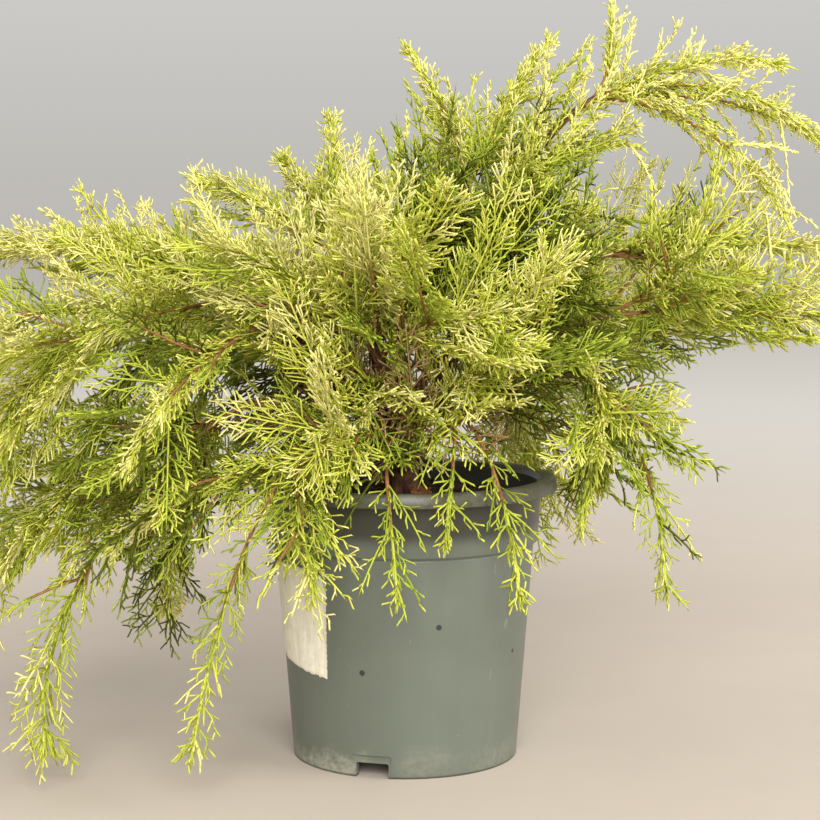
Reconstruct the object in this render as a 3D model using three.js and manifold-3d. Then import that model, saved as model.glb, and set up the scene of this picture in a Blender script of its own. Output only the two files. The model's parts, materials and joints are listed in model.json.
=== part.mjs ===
// A spreading golden juniper in its nursery pot: pot, growing medium, paper label, trunk,
// arching boughs, and masses of feathery foliage that grow from the boughs' tips.
//
// Millimetres, +Z up. The origin is under the middle of the pot, on the surface it stands on.
// A compass angle (azimuth) is in degrees: 0 points to the right (+X), 90 to the back (+Y).
import * as THREE from "three";
import { mergeVertices } from "three/addons/utils/BufferGeometryUtils.js";
import Module from "manifold-3d";

const wasm = await Module();
wasm.setup();

// Driving dimensions of the pot
const POT_HEIGHT = 175;
const RIM_RADIUS = 95;
const RIM_SKIRT = 8.6;
const RIM_FOLD = 2;
const BASE_RADIUS = 70;
const WALL = 2;
const SHOULDER_HEIGHT = 134.4;
const SHOULDER_RADIUS = 80.3;
const SHOULDER_STEP = 2.6;
const BAND_TOP_RADIUS = 85.5;
const FOOT_WIDTH = 5;
const PAD_RADIUS = 28;
const CHANNEL_HEIGHT = 9;
const FLOOR_THICK = 2;
const POT_SIDES = 30;
const NOTCH = { count: 3, width: 20.5, firstAzimuth: 253.6 };
const DRAIN = { count: 6, radius: 5, ring: 47, sides: 8 };

// Driving dimensions of the medium, the label and the gaps between pieces
const MEDIUM_TOP = 158;
const MEDIUM_MOUND = 3;
const GAP = 0.3;
const LABEL = { from: 174, facets: 5, low: 67.5, high: 126, thick: 0.5, tear: 9 };

// Driving dimensions of the plant
const TRUNK = { x: 1, y: 0, leanX: -15, leanY: 4, height: 68, base: 8.5, tip: 5.5 };
const FLARE = { radius: 4.5, height: 11 };
const TRUNK_SIDES = 12;
const BOUGH_SIDES = 5;
const STEM_SIDES = 3;
const STEM_RADIUS = 1.25;
const STEM_TIP_RADIUS = 0.9;
const STEM_STEPS = 5;
const FORK_ANGLE = 48;
const FLOOR_CLEAR = 7;
const LIMB_CLEAR = 1;
const SPACE_CLEAR = 1.4;
const SPRAY_ANGLE = 50;
const BARE_STEM = 14;
const CROWN_MIDDLE = 190;
const OUTWARD_PULL = 0.3;
const SPRAY_ROLL = 40;
const SPRAY_THICK = 1.8;
const RIB_RADIUS = 1.5;
const LAST_SPRAY = 0.84;
const TIP_SPRAY = { length: 50, share: 0.35, reach: 26 };
const TOOTH_SPACING = 19;
const TOOTH_ANGLE = 35;
const TOOTH_REACH = 0.58;
const GOLDEN_ANGLE = 137.508;
// The crown's upper edge seen from the front: places from left to right, each with its height.
const CROWN_EDGE = [
  [-320, 350],
  [-240, 362],
  [-75, 388],
  [-35, 402],
  [0, 448],
  [80, 452],
  [125, 477],
  [230, 438],
  [320, 380],
];

const COLOURS = { pot: 0x74847f, medium: 0x1d1712, label: 0xdad8c8, bark: 0x6b4a35 };
const TINTS = { gold: 0xc3cc4f, lime: 0x9cb43f, green: 0x5f8a33 };

// Boughs. Each leaves its parent some way along it, and is given by its tip's compass angle, reach from the
// pot's axis, height and nod (degrees above level), and by its radius at the root and at the tip.
const BOUGHS = [
  ["top", "trunk", 1, 10, 36, 350, 66, 4.6, 2.6],
  ["crest", "top", 0.42, 4, 118, 408, 26, 3, 2.1],
  ["mid_top", "trunk", 0.84, 160, 42, 308, 58, 3.3, 2.2],
  ["left_high", "trunk", 0.72, 172, 84, 290, 24, 3.5, 2.3],
  ["left_mid", "trunk", 0.57, 198, 104, 286, 14, 3.8, 2.4],
  ["left_front", "left_mid", 0.45, 219, 112, 270, -2, 2.8, 2.1],
  ["left_low", "trunk", 0.42, 188, 98, 220, -6, 3.5, 2.3],
  ["front_left", "trunk", 0.34, 232, 96, 202, -14, 3.3, 2.2],
  ["front", "trunk", 0.27, 260, 64, 203, 12, 3, 2.1],
  ["centre_front", "trunk", 0.7, 250, 42, 250, 40, 3.1, 2.2],
  ["front_right", "trunk", 0.48, 300, 50, 224, 20, 3.1, 2.1],
  ["right_low", "trunk", 0.36, 344, 108, 240, 4, 3.6, 2.3],
  ["right_mid", "right_low", 0.45, 352, 128, 276, 14, 2.7, 2.1],
  ["right_high", "trunk", 0.76, 12, 118, 308, 20, 3.5, 2.2],
  ["back", "trunk", 0.66, 96, 84, 290, 24, 3.5, 2.3],
  ["back_left", "trunk", 0.5, 136, 88, 250, 6, 3.5, 2.3],
  ["back_right", "trunk", 0.57, 48, 88, 262, 10, 3.5, 2.3],
].map(([name, parent, at, azimuth, reach, height, nod, root, tip]) => {
  return { name, parent, at, azimuth, reach, height, nod, root, tip };
});

// Masses. Each grows from a bough's tip, and is given by its own tip, as a bough's is, by the length of its
// side sprays, their lift (below 0 they weep), their spacing along the stem, and a tint.
const MASSES = [
  ["left_top", "left_high", 179, 284, 306, -26, 88, 0.5, 42, "gold"],
  ["left_top_back", "left_high", 153, 244, 318, -4, 86, 0.45, 38, "lime"],
  ["left_arch", "left_mid", 199, 276, 176, -76, 96, -0.1, 40, "gold"],
  ["left_front_arch", "left_front", 224, 216, 184, -74, 86, -0.1, 40, "gold"],
  ["left_low", "left_low", 190, 256, 112, -66, 94, -0.2, 32, "lime"],
  ["left_long", "left_low", 204, 222, 12, -118, 50, -0.5, 34, "gold"],
  ["left_shade", "left_low", 172, 154, 72, -84, 84, -0.3, 38, "green"],
  ["front_left_long", "front_left", 227, 179, 20, -80, 38, -0.5, 34, "gold"],
  ["front_left_weep", "front_left", 248, 138, 116, -84, 62, -0.4, 26, "gold"],
  ["front_left_out", "front_left", 212, 206, 132, -66, 86, -0.2, 42, "lime"],
  ["front_weep", "front", 268, 121, 109, -86, 34, -0.5, 30, "gold"],
  ["front_mid_weep", "front_right", 281, 121, 141, -84, 34, -0.5, 30, "lime"],
  ["front_right_weep", "front_right", 301, 129, 107, -86, 38, -0.5, 30, "lime"],
  ["centre_left", "centre_front", 220, 152, 322, 10, 96, 0.3, 32, "gold"],
  ["centre_up", "centre_front", 262, 112, 332, 26, 98, 0.3, 26, "gold"],
  ["centre_mid", "centre_front", 296, 124, 272, -26, 98, 0.1, 20, "lime"],
  ["front_middle", "front", 243, 122, 206, -52, 100, -0.1, 18, "gold"],
  ["centre_right", "front_right", 318, 112, 262, 10, 98, 0.1, 24, "lime"],
  ["right_weep", "right_low", 343, 166, 98, -86, 52, -0.4, 34, "gold"],
  ["right_shade", "right_low", 24, 138, 150, -86, 60, -0.3, 34, "green"],
  ["right_front", "right_low", 320, 146, 192, -62, 88, -0.1, 28, "lime"],
  ["right_low_out", "right_mid", 354, 276, 266, -26, 76, 0.3, 38, "gold"],
  ["right_front_up", "right_mid", 336, 192, 318, 22, 82, 0.3, 32, "lime"],
  ["right_out", "right_high", 3, 292, 302, -30, 76, 0.4, 38, "gold"],
  ["right_up", "right_high", 12, 190, 332, 24, 80, 0.3, 24, "gold"],
  ["crest_tuft", "crest", 4, 128, 474, 84, 52, 0.5, 38, "gold"],
  ["crest_high", "crest", 6, 286, 356, -58, 66, 0.3, 44, "gold"],
  ["crest_arch", "crest", 352, 236, 322, -70, 72, -0.3, 38, "gold"],
  ["top_left", "top", 250, 12, 444, 50, 90, 0.4, 32, "gold"],
  ["top_right", "top", 12, 100, 452, 44, 80, 0.4, 38, "gold"],
  ["top_back", "top", 66, 94, 388, 22, 90, 0.1, 38, "green"],
  ["mid_top_left", "mid_top", 166, 146, 360, 6, 86, 0.5, 30, "gold"],
  ["mid_top_up", "mid_top", 145, 58, 404, 70, 90, 0.3, 38, "lime"],
  ["back_out", "back", 92, 222, 286, -34, 96, 0.2, 46, "lime"],
  ["back_up", "back", 108, 156, 368, 40, 92, 0.3, 38, "gold"],
  ["back_left_out", "back_left", 134, 246, 214, -52, 98, 0.1, 52, "lime"],
  ["back_left_low", "back_left", 112, 178, 116, -78, 88, -0.3, 46, "green"],
  ["back_right_out", "back_right", 40, 240, 250, -36, 96, 0.2, 46, "gold"],
  ["back_right_low", "back_right", 62, 178, 122, -78, 88, -0.3, 46, "lime"],
].map(([name, bough, azimuth, reach, height, nod, spray, lift, spacing, tint]) => {
  return { name, bough, azimuth, reach, height, nod, spray, lift, spacing, tint };
});

const UP = new THREE.Vector3(0, 0, 1);
const radians = THREE.MathUtils.degToRad;
const lerp = THREE.MathUtils.lerp;

function place(azimuth, reach, height) {
  return new THREE.Vector3(reach * Math.cos(radians(azimuth)), reach * Math.sin(radians(azimuth)), height);
}

// A seeded stream of numbers from 0 to 1, started from a name, so that each mass always grows alike.
function seededBy(name) {
  let state = 2166136261;
  for (const letter of name) state = Math.imul(state ^ letter.charCodeAt(0), 16777619) >>> 0;
  return () => {
    state = (state + 0x6d2b79f5) >>> 0;
    let t = Math.imul(state ^ (state >>> 15), state | 1);
    t = (t + Math.imul(t ^ (t >>> 7), t | 61)) ^ t;
    return ((t ^ (t >>> 14)) >>> 0) / 4294967296;
  };
}

// Any direction square to a given one, turned round it by an angle in degrees.
function sideOf(direction, turn) {
  const aside = Math.abs(direction.z) > 0.9 ? new THREE.Vector3(1, 0, 0) : UP;
  const across = new THREE.Vector3().crossVectors(direction, aside);
  return across.normalize().applyAxisAngle(direction, radians(turn));
}

// A direction that leans away from an axis by an angle in degrees, towards a side square to that axis.
function leanFrom(axis, side, angle) {
  const lean = radians(angle);
  return side.clone().multiplyScalar(Math.sin(lean)).addScaledVector(axis, Math.cos(lean));
}

function directionTo(from, to, pitch) {
  return leanFrom(new THREE.Vector3(to.x - from.x, to.y - from.y, 0).normalize(), UP, pitch);
}

// Geometry helpers

function solidOf(geometry) {
  const bare = geometry.clone();
  for (const name of Object.keys(bare.attributes)) if (name !== "position") bare.deleteAttribute(name);
  const merged = mergeVertices(bare, 1e-4);
  return new wasm.Manifold(
    new wasm.Mesh({
      numProp: 3,
      vertProperties: new Float32Array(merged.attributes.position.array),
      triVerts: new Uint32Array(merged.index.array),
    }),
  );
}

function geometryOf(solid) {
  const mesh = solid.getMesh();
  const geometry = new THREE.BufferGeometry();
  geometry.setAttribute("position", new THREE.BufferAttribute(mesh.vertProperties, 3));
  geometry.setIndex(new THREE.BufferAttribute(mesh.triVerts, 1));
  geometry.computeVertexNormals();
  return geometry;
}

// The largest closed body of a solid: loose scraps are dropped and sealed hollows are filled.
function largestBody(solid) {
  return solid.decompose().reduce((best, body) => (body.volume() > best.volume() ? body : best));
}

// A limb: a cylinder bent along a curve, with its radius given along it.
function limbGeometry(curve, radiusAt, sides, steps) {
  const geometry = new THREE.CylinderGeometry(radiusAt(1) > 0 ? 1 : 0, 1, 1, sides, steps);
  const position = geometry.getAttribute("position");
  const frames = curve.computeFrenetFrames(steps, false);
  const point = new THREE.Vector3();
  for (let i = 0; i < position.count; i++) {
    const t = position.getY(i) + 0.5;
    const ring = Math.round(t * steps);
    const radius = radiusAt(t);
    curve.getPointAt(t, point);
    point.addScaledVector(frames.normals[ring], position.getX(i) * radius);
    point.addScaledVector(frames.binormals[ring], -position.getZ(i) * radius);
    position.setXYZ(i, point.x, point.y, point.z);
  }
  return geometry;
}

function turned(points) {
  const profile = points.map(([radius, height]) => new THREE.Vector2(radius, height));
  return new THREE.LatheGeometry(profile, POT_SIDES).rotateX(Math.PI / 2);
}

// Both faces of the pot's wall run straight from the floor to the shoulder, and on to the rim.
function wallRadius(z, aboveShoulder) {
  if (z < SHOULDER_HEIGHT) return lerp(BASE_RADIUS, SHOULDER_RADIUS, z / SHOULDER_HEIGHT);
  return lerp(aboveShoulder, BAND_TOP_RADIUS, (z - SHOULDER_HEIGHT) / (POT_HEIGHT - SHOULDER_HEIGHT));
}

function outerRadius(z) {
  return wallRadius(z, SHOULDER_RADIUS + SHOULDER_STEP);
}

function innerRadius(z) {
  return wallRadius(z, SHOULDER_RADIUS) - WALL;
}

// The pot and what it holds

function makePot() {
  const skirtLow = POT_HEIGHT - RIM_SKIRT;
  const shell = solidOf(
    turned([
      [0, 0],
      [PAD_RADIUS, 0],
      [PAD_RADIUS + 3, CHANNEL_HEIGHT],
      [BASE_RADIUS - FOOT_WIDTH - 1, CHANNEL_HEIGHT],
      [BASE_RADIUS - FOOT_WIDTH, 0],
      [BASE_RADIUS, 0],
      [outerRadius(SHOULDER_HEIGHT - 1), SHOULDER_HEIGHT - 1],
      [outerRadius(SHOULDER_HEIGHT + 1), SHOULDER_HEIGHT + 1],
      [outerRadius(POT_HEIGHT - RIM_FOLD), POT_HEIGHT - RIM_FOLD],
      [RIM_RADIUS - RIM_FOLD, POT_HEIGHT - RIM_FOLD],
      [RIM_RADIUS - RIM_FOLD, skirtLow],
      [RIM_RADIUS, skirtLow],
      [RIM_RADIUS - 1, POT_HEIGHT],
      [innerRadius(POT_HEIGHT), POT_HEIGHT],
      [innerRadius(SHOULDER_HEIGHT), SHOULDER_HEIGHT],
      [innerRadius(CHANNEL_HEIGHT), CHANNEL_HEIGHT + FLOOR_THICK],
      [PAD_RADIUS, CHANNEL_HEIGHT + FLOOR_THICK],
      [PAD_RADIUS - 3, FLOOR_THICK],
      [0, FLOOR_THICK],
    ]),
  );
  const cuts = [];
  for (let i = 0; i < NOTCH.count; i++) {
    const azimuth = NOTCH.firstAzimuth + (360 / NOTCH.count) * i;
    const middle = place(azimuth, BASE_RADIUS - 2, 0);
    const block = new THREE.BoxGeometry(3 * FOOT_WIDTH, NOTCH.width, 2 * CHANNEL_HEIGHT);
    cuts.push(solidOf(block.rotateZ(radians(azimuth)).translate(middle.x, middle.y, middle.z)));
  }
  for (let i = 0; i < DRAIN.count; i++) {
    const middle = place((360 / DRAIN.count) * i, DRAIN.ring, CHANNEL_HEIGHT);
    const drill = new THREE.CylinderGeometry(DRAIN.radius, DRAIN.radius, 4 * FLOOR_THICK, DRAIN.sides);
    cuts.push(solidOf(drill.rotateX(Math.PI / 2).translate(middle.x, middle.y, middle.z)));
  }
  return geometryOf(shell.subtract(wasm.Manifold.union(cuts)));
}

function makeMedium() {
  const low = FLOOR_THICK + GAP;
  const side = (z) => innerRadius(z) - GAP;
  return turned([
    [0, low],
    [PAD_RADIUS - 3 - 2 * GAP, low],
    [PAD_RADIUS - GAP, low + CHANNEL_HEIGHT],
    [side(CHANNEL_HEIGHT) - GAP, low + CHANNEL_HEIGHT],
    [side(SHOULDER_HEIGHT) - GAP, SHOULDER_HEIGHT],
    [side(MEDIUM_TOP) - GAP, MEDIUM_TOP],
    [24, MEDIUM_TOP + MEDIUM_MOUND],
    [0, MEDIUM_TOP + MEDIUM_MOUND],
  ]);
}

// A paper label stuck round the pot's side, torn along its lower edge. Its folds lie on the pot's edges.
function makeLabel() {
  const random = seededBy("label");
  const geometry = new THREE.BoxGeometry(1, 1, 1, LABEL.facets, 1, 1).translate(0.5, 0.5, 0.5);
  const torn = [];
  for (let i = 0; i <= LABEL.facets; i++) {
    torn.push(LABEL.tear * (i / LABEL.facets) * (0.7 + 0.3 * random()));
  }
  const position = geometry.getAttribute("position");
  for (let i = 0; i < position.count; i++) {
    const column = Math.round(position.getX(i) * LABEL.facets);
    const z = position.getY(i) > 0.5 ? LABEL.high : LABEL.low - torn[column];
    const radius = outerRadius(z) + GAP + LABEL.thick * position.getZ(i);
    const spot = place(LABEL.from + (360 / POT_SIDES) * column, radius, z);
    position.setXYZ(i, spot.x, spot.y, spot.z);
  }
  return geometry;
}

// Limbs: each keeps its curve, its radius along it, and points for measuring how near other pieces come.

const LIMB_SAMPLES = 16;
const limbs = new Map();

function keepLimb(name, curve, radiusAt) {
  const samples = [];
  for (let i = 0; i <= LIMB_SAMPLES; i++) {
    const t = i / LIMB_SAMPLES;
    samples.push({ point: curve.getPointAt(t), radius: radiusAt(t) });
  }
  limbs.set(name, { name, curve, radiusAt, samples });
  return limbs.get(name);
}

function makeTrunk() {
  const foot = new THREE.Vector3(TRUNK.x, TRUNK.y, MEDIUM_TOP + MEDIUM_MOUND + GAP);
  const top = foot.clone().add(new THREE.Vector3(TRUNK.leanX, TRUNK.leanY, TRUNK.height));
  const bend = foot.clone().addScaledVector(UP, TRUNK.height * 0.55);
  const curve = new THREE.QuadraticBezierCurve3(foot, bend, top);
  const flareAt = (t) => FLARE.radius * Math.max(0, 1 - (t * TRUNK.height) / FLARE.height) ** 2;
  keepLimb("trunk", curve, (t) => lerp(TRUNK.base, TRUNK.tip, t) + flareAt(t));
}

// A curve that leaves a root along one direction and comes to its tip along another.
function archTo(root, leaving, tip, arriving) {
  const third = root.distanceTo(tip) / 3;
  return new THREE.CubicBezierCurve3(
    root,
    root.clone().addScaledVector(leaving, third),
    tip.clone().addScaledVector(arriving, -third),
    tip,
  );
}

function makeBough({ name, parent, at, azimuth, reach, height, nod, root, tip }) {
  const host = limbs.get(parent);
  const joint = host.curve.getPointAt(at);
  const along = host.curve.getTangentAt(at);
  const end = place(azimuth, reach, height);
  let leaving = along;
  let start = joint.clone().addScaledVector(along, GAP);
  if (at < 1) {
    const out = end.clone().sub(joint).projectOnPlane(along).normalize();
    leaving = leanFrom(along, out, FORK_ANGLE);
    const half = root * Math.cos(radians(FORK_ANGLE));
    start = joint.clone().addScaledVector(out, host.radiusAt(at) + GAP + half);
  }
  keepLimb(name, archTo(start, leaving, end, directionTo(start, end, nod)), (t) => lerp(root, tip, t));
}

// A mass's stem. Where a bough carries several, they stand side by side on its tip.
function makeStem(mass, host, side, count) {
  const joint = host.curve.getPointAt(1);
  const along = host.curve.getTangentAt(1);
  const end = place(mass.azimuth, mass.reach, mass.height);
  const toward = end.clone().sub(joint).normalize();
  const leaving = along.clone().multiplyScalar(0.8).addScaledVector(toward, 0.6).normalize();
  const tilt = Math.sqrt(Math.max(0, 1 - leaving.dot(along) ** 2));
  const start = joint.clone().addScaledVector(along, GAP + STEM_RADIUS * tilt);
  if (count > 1) start.addScaledVector(side, (STEM_RADIUS + GAP) / Math.sin(Math.PI / count));
  const curve = archTo(start, leaving, end, directionTo(start, end, mass.nod));
  const samples = [];
  for (let i = 0; i <= LIMB_SAMPLES; i++) samples.push(curve.getPointAt(i / LIMB_SAMPLES));
  return { ...mass, curve, samples, length: curve.getLength() };
}

// Round a bough's tip, each stem takes the side that its own tip lies on.
function makeStems(bough) {
  const host = limbs.get(bough.name);
  const joint = host.curve.getPointAt(1);
  const along = host.curve.getTangentAt(1);
  const basis = sideOf(along, 0);
  const other = new THREE.Vector3().crossVectors(along, basis);
  const carried = MASSES.filter((mass) => mass.bough === bough.name).map((mass) => {
    const away = place(mass.azimuth, mass.reach, mass.height).sub(joint);
    return { mass, turn: Math.atan2(away.dot(other), away.dot(basis)) };
  });
  carried.sort((a, b) => a.turn - b.turn);
  const offsets = carried.map(({ turn }, i) => turn - (2 * Math.PI * i) / carried.length);
  const sum = (f) => offsets.reduce((total, offset) => total + f(offset), 0);
  const first = THREE.MathUtils.radToDeg(Math.atan2(sum(Math.sin), sum(Math.cos)));
  return carried.map(({ mass }, i) => {
    const side = sideOf(along, first + (360 / carried.length) * i);
    return makeStem(mass, host, side, carried.length);
  });
}

// Growing room: a twig keeps to the space nearer its own stem than any other, and clear of the
// limbs, the pot and the surface below.

function distanceAlong(samples, point) {
  let best = Infinity;
  for (let i = 1; i < samples.length; i++) {
    const a = samples[i - 1];
    const ab = samples[i].clone().sub(a);
    const share = THREE.MathUtils.clamp(point.clone().sub(a).dot(ab) / ab.lengthSq(), 0, 1);
    best = Math.min(best, a.clone().addScaledVector(ab, share).distanceTo(point));
  }
  return best;
}

function underCrownEdge(point) {
  const i = CROWN_EDGE.findIndex(([x]) => x > point.x);
  if (i < 1) return false;
  const [[x0, z0], [x1, z1]] = [CROWN_EDGE[i - 1], CROWN_EDGE[i]];
  return point.z < lerp(z0, z1, (point.x - x0) / (x1 - x0));
}

function clearOfPot(point, radius) {
  const away = Math.hypot(point.x, point.y);
  const clear = radius + LIMB_CLEAR;
  if (point.z > POT_HEIGHT + clear || away > RIM_RADIUS + clear) return true;
  return away < innerRadius(POT_HEIGHT) - clear && point.z > MEDIUM_TOP + MEDIUM_MOUND + clear;
}

function clearOfLimbs(point, radius) {
  for (const limb of limbs.values()) {
    for (let i = 1; i < limb.samples.length; i++) {
      const a = limb.samples[i - 1];
      const b = limb.samples[i];
      const ab = b.point.clone().sub(a.point);
      const share = THREE.MathUtils.clamp(point.clone().sub(a.point).dot(ab) / ab.lengthSq(), 0, 1);
      const near = a.point.clone().addScaledVector(ab, share).distanceTo(point);
      if (near < lerp(a.radius, b.radius, share) + radius + LIMB_CLEAR) return false;
    }
  }
  return true;
}

function hasRoom(mass, stems, point, radius) {
  if (point.z < FLOOR_CLEAR + radius || !underCrownEdge(point)) return false;
  if (!clearOfPot(point, radius) || !clearOfLimbs(point, radius)) return false;
  const share = distanceAlong(mass.samples, point) + 2 * radius + SPACE_CLEAR;
  return stems.every((stem) => stem === mass || distanceAlong(stem.samples, point) > share);
}

// A spray's rib, bent up or down by the mass's lift, as long as it has room for; null where it has none.
function findRib(mass, stems, start, direction, length) {
  for (const share of [1, 0.82, 0.66, 0.52]) {
    const long = length * share;
    const middle = start.clone().addScaledVector(direction, long * 0.55);
    const end = start.clone().addScaledVector(direction, long).addScaledVector(UP, mass.lift * long * 0.5);
    const rib = new THREE.QuadraticBezierCurve3(start, middle, end);
    const stations = [0.3, 0.5, 0.7, 0.85, 1];
    if (stations.every((t) => hasRoom(mass, stems, rib.getPoint(t), SPRAY_THICK))) return rib;
  }
  return null;
}

// Out of the crown, away from its middle.
function outwardAt(point) {
  return point.clone().sub(new THREE.Vector3(0, 0, CROWN_MIDDLE)).normalize();
}

// A spray lies flat to the crown's surface, give or take a roll.
function flatSide(point, direction, random) {
  const side = new THREE.Vector3().crossVectors(outwardAt(point), direction).normalize();
  return side.applyAxisAngle(direction, radians(SPRAY_ROLL * (2 * random() - 1)));
}

// A spray is a toothed blade along a rib. Each tooth is as long as it has room for, up to a reach.
function growSpray(mass, stems, rib, side, reach) {
  const length = rib.getLength();
  const teeth = THREE.MathUtils.clamp(Math.round(length / TOOTH_SPACING), 2, 3);
  const placeOn = (along, across, raised) => {
    const t = Math.min(1, along / length);
    const tangent = rib.getTangentAt(t);
    const square = side.clone().projectOnPlane(tangent).normalize();
    const normal = new THREE.Vector3().crossVectors(tangent, square);
    const spot = rib.getPointAt(t).addScaledVector(tangent, Math.max(0, along - length));
    return spot.addScaledVector(square, across).addScaledVector(normal, raised);
  };
  // The teeth of one edge, each with the notch after it. Those of the other edge stand half a step on.
  const edge = (hand) => {
    const points = [];
    for (let i = 0; i < teeth; i++) {
      const root = ((i + (hand > 0 ? 0.45 : 0.1)) / teeth) * length;
      const notch = root + (0.4 / teeth) * length;
      const full = reach * (1 - (0.5 * root) / length);
      const tipAt = (share) => [
        root + share * full * Math.cos(radians(TOOTH_ANGLE)),
        hand * share * full * Math.sin(radians(TOOTH_ANGLE)),
      ];
      const clear = (share) => hasRoom(mass, stems, placeOn(...tipAt(share), 0), SPRAY_THICK);
      const share = [1, 0.8, 0.6, 0.4, 0.25].find((part) => clear(part) && clear(0.6 * part)) ?? 0.12;
      points.push(tipAt(share), [notch, hand * RIB_RADIUS * (1 - (0.6 * notch) / length)]);
    }
    return points;
  };
  const outline = [[0, -RIB_RADIUS], ...edge(-1), [length, 0], ...edge(1).reverse(), [0, RIB_RADIUS]];
  const shape = new THREE.Shape(outline.map(([along, across]) => new THREE.Vector2(along, across)));
  const blade = new THREE.ExtrudeGeometry(shape, { depth: SPRAY_THICK, bevelEnabled: false });
  const position = blade.getAttribute("position");
  for (let i = 0; i < position.count; i++) {
    const spot = placeOn(position.getX(i), position.getY(i), position.getZ(i) - SPRAY_THICK / 2);
    position.setXYZ(i, spot.x, spot.y, spot.z);
  }
  return solidOf(blade);
}

// The spray that ends a stem follows the stem's last stretch.
function growTip(mass, stems, random) {
  const stretch = Math.min(TIP_SPRAY.length, mass.length * TIP_SPRAY.share) / mass.length;
  const [root, middle, tip] = [1 - stretch, 1 - stretch / 2, 1].map((t) => mass.curve.getPointAt(t));
  const rib = new THREE.QuadraticBezierCurve3(root, middle, tip);
  return growSpray(mass, stems, rib, flatSide(root, rib.getTangent(0), random), TIP_SPRAY.reach);
}

// A mass is a stem with sprays that turn round it by the golden angle, longest a third of the way along.
function growMass(mass, stems) {
  const random = seededBy(mass.name);
  const stemRadius = (t) => (t < 1 ? lerp(STEM_RADIUS, STEM_TIP_RADIUS, t) : 0);
  const pieces = [solidOf(limbGeometry(mass.curve, stemRadius, STEM_SIDES, STEM_STEPS))];
  const count = Math.round(mass.length / mass.spacing);
  const bare = BARE_STEM / mass.length;
  for (let i = 0; i < count; i++) {
    const t = bare + ((LAST_SPRAY - bare) * (i + 0.3 * random())) / count;
    const along = mass.curve.getTangentAt(t);
    const start = mass.curve.getPointAt(t);
    const side = sideOf(along, GOLDEN_ANGLE * i + 40 * random());
    const direction = leanFrom(along, side, SPRAY_ANGLE + 12 * (random() - 0.5));
    direction.addScaledVector(outwardAt(start), OUTWARD_PULL).normalize();
    const swell = 0.75 + 0.35 * Math.sin(Math.PI * Math.min(1, t + 0.15));
    const length = mass.spray * swell * (1.05 - 0.4 * t);
    const rib = findRib(mass, stems, start, direction, length);
    if (!rib) continue;
    pieces.push(growSpray(mass, stems, rib, flatSide(start, direction, random), length * TOOTH_REACH));
  }
  pieces.push(growTip(mass, stems, random));
  return geometryOf(largestBody(wasm.Manifold.union(pieces)));
}

// The whole plant

function material(colour, roughness) {
  return new THREE.MeshStandardMaterial({ color: colour, roughness, metalness: 0 });
}

const plant = new THREE.Group();

function add(name, geometry, finish) {
  const mesh = new THREE.Mesh(geometry, finish);
  mesh.name = name;
  plant.add(mesh);
}

add("pot", makePot(), material(COLOURS.pot, 0.5));
add("growing_medium", makeMedium(), material(COLOURS.medium, 0.95));
add("paper_label", makeLabel(), material(COLOURS.label, 0.8));

makeTrunk();
for (const bough of BOUGHS) makeBough(bough);
const bark = material(COLOURS.bark, 0.85);
for (const { name, curve, radiusAt } of limbs.values()) {
  if (name === "trunk") add(name, limbGeometry(curve, radiusAt, TRUNK_SIDES, 6), bark);
  else add("bough_" + name, limbGeometry(curve, radiusAt, BOUGH_SIDES, 5), bark);
}

const stems = BOUGHS.flatMap(makeStems);
for (const mass of stems) {
  add("foliage_" + mass.name, growMass(mass, stems), material(TINTS[mass.tint], 0.6));
}

export default plant;
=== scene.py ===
"""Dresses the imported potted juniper: its pot, medium, label, limbs and golden foliage.

The plant grows by the rule of its solids: boughs arch out of the trunk, stems grow on from the boughs' tips,
and sprays turn round each stem by the golden angle. Here each spray goes on to twigs and leafy shoots.
Lengths of the pot and the plant are in millimetres, and Blender's own are in metres.
"""

import json
import math

import bpy
import numpy as np
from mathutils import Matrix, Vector, noise

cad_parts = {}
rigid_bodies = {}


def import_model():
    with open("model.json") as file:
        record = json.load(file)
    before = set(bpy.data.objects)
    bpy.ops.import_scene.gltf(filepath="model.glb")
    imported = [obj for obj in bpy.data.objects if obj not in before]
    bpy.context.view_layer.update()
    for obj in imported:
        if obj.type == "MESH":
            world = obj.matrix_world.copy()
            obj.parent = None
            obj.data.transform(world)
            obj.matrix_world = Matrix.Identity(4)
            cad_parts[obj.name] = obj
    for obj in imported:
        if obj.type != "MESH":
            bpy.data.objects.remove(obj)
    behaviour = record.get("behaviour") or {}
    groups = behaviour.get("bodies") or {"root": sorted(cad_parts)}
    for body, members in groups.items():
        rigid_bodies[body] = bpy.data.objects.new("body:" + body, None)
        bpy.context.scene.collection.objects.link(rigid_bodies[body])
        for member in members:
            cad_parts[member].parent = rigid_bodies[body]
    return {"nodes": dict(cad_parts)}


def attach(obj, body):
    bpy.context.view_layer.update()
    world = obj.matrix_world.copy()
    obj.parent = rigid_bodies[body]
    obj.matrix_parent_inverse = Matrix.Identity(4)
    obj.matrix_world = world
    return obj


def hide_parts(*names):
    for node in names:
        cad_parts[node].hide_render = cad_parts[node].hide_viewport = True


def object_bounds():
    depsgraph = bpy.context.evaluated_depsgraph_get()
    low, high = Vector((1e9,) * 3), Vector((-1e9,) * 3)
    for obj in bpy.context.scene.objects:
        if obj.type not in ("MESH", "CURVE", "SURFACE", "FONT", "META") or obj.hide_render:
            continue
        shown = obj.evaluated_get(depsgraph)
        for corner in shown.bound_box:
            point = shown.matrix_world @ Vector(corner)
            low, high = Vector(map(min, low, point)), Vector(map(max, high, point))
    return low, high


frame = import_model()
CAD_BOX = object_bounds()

bl_info = {
    "name": "Potted golden juniper",
    "version": (1, 0, 0),
    "blender": (4, 5, 0),
    "location": "View3D > Sidebar > Juniper",
    "description": "Builds a golden spreading juniper in its nursery pot",
    "category": "Add Mesh",
}

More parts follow.
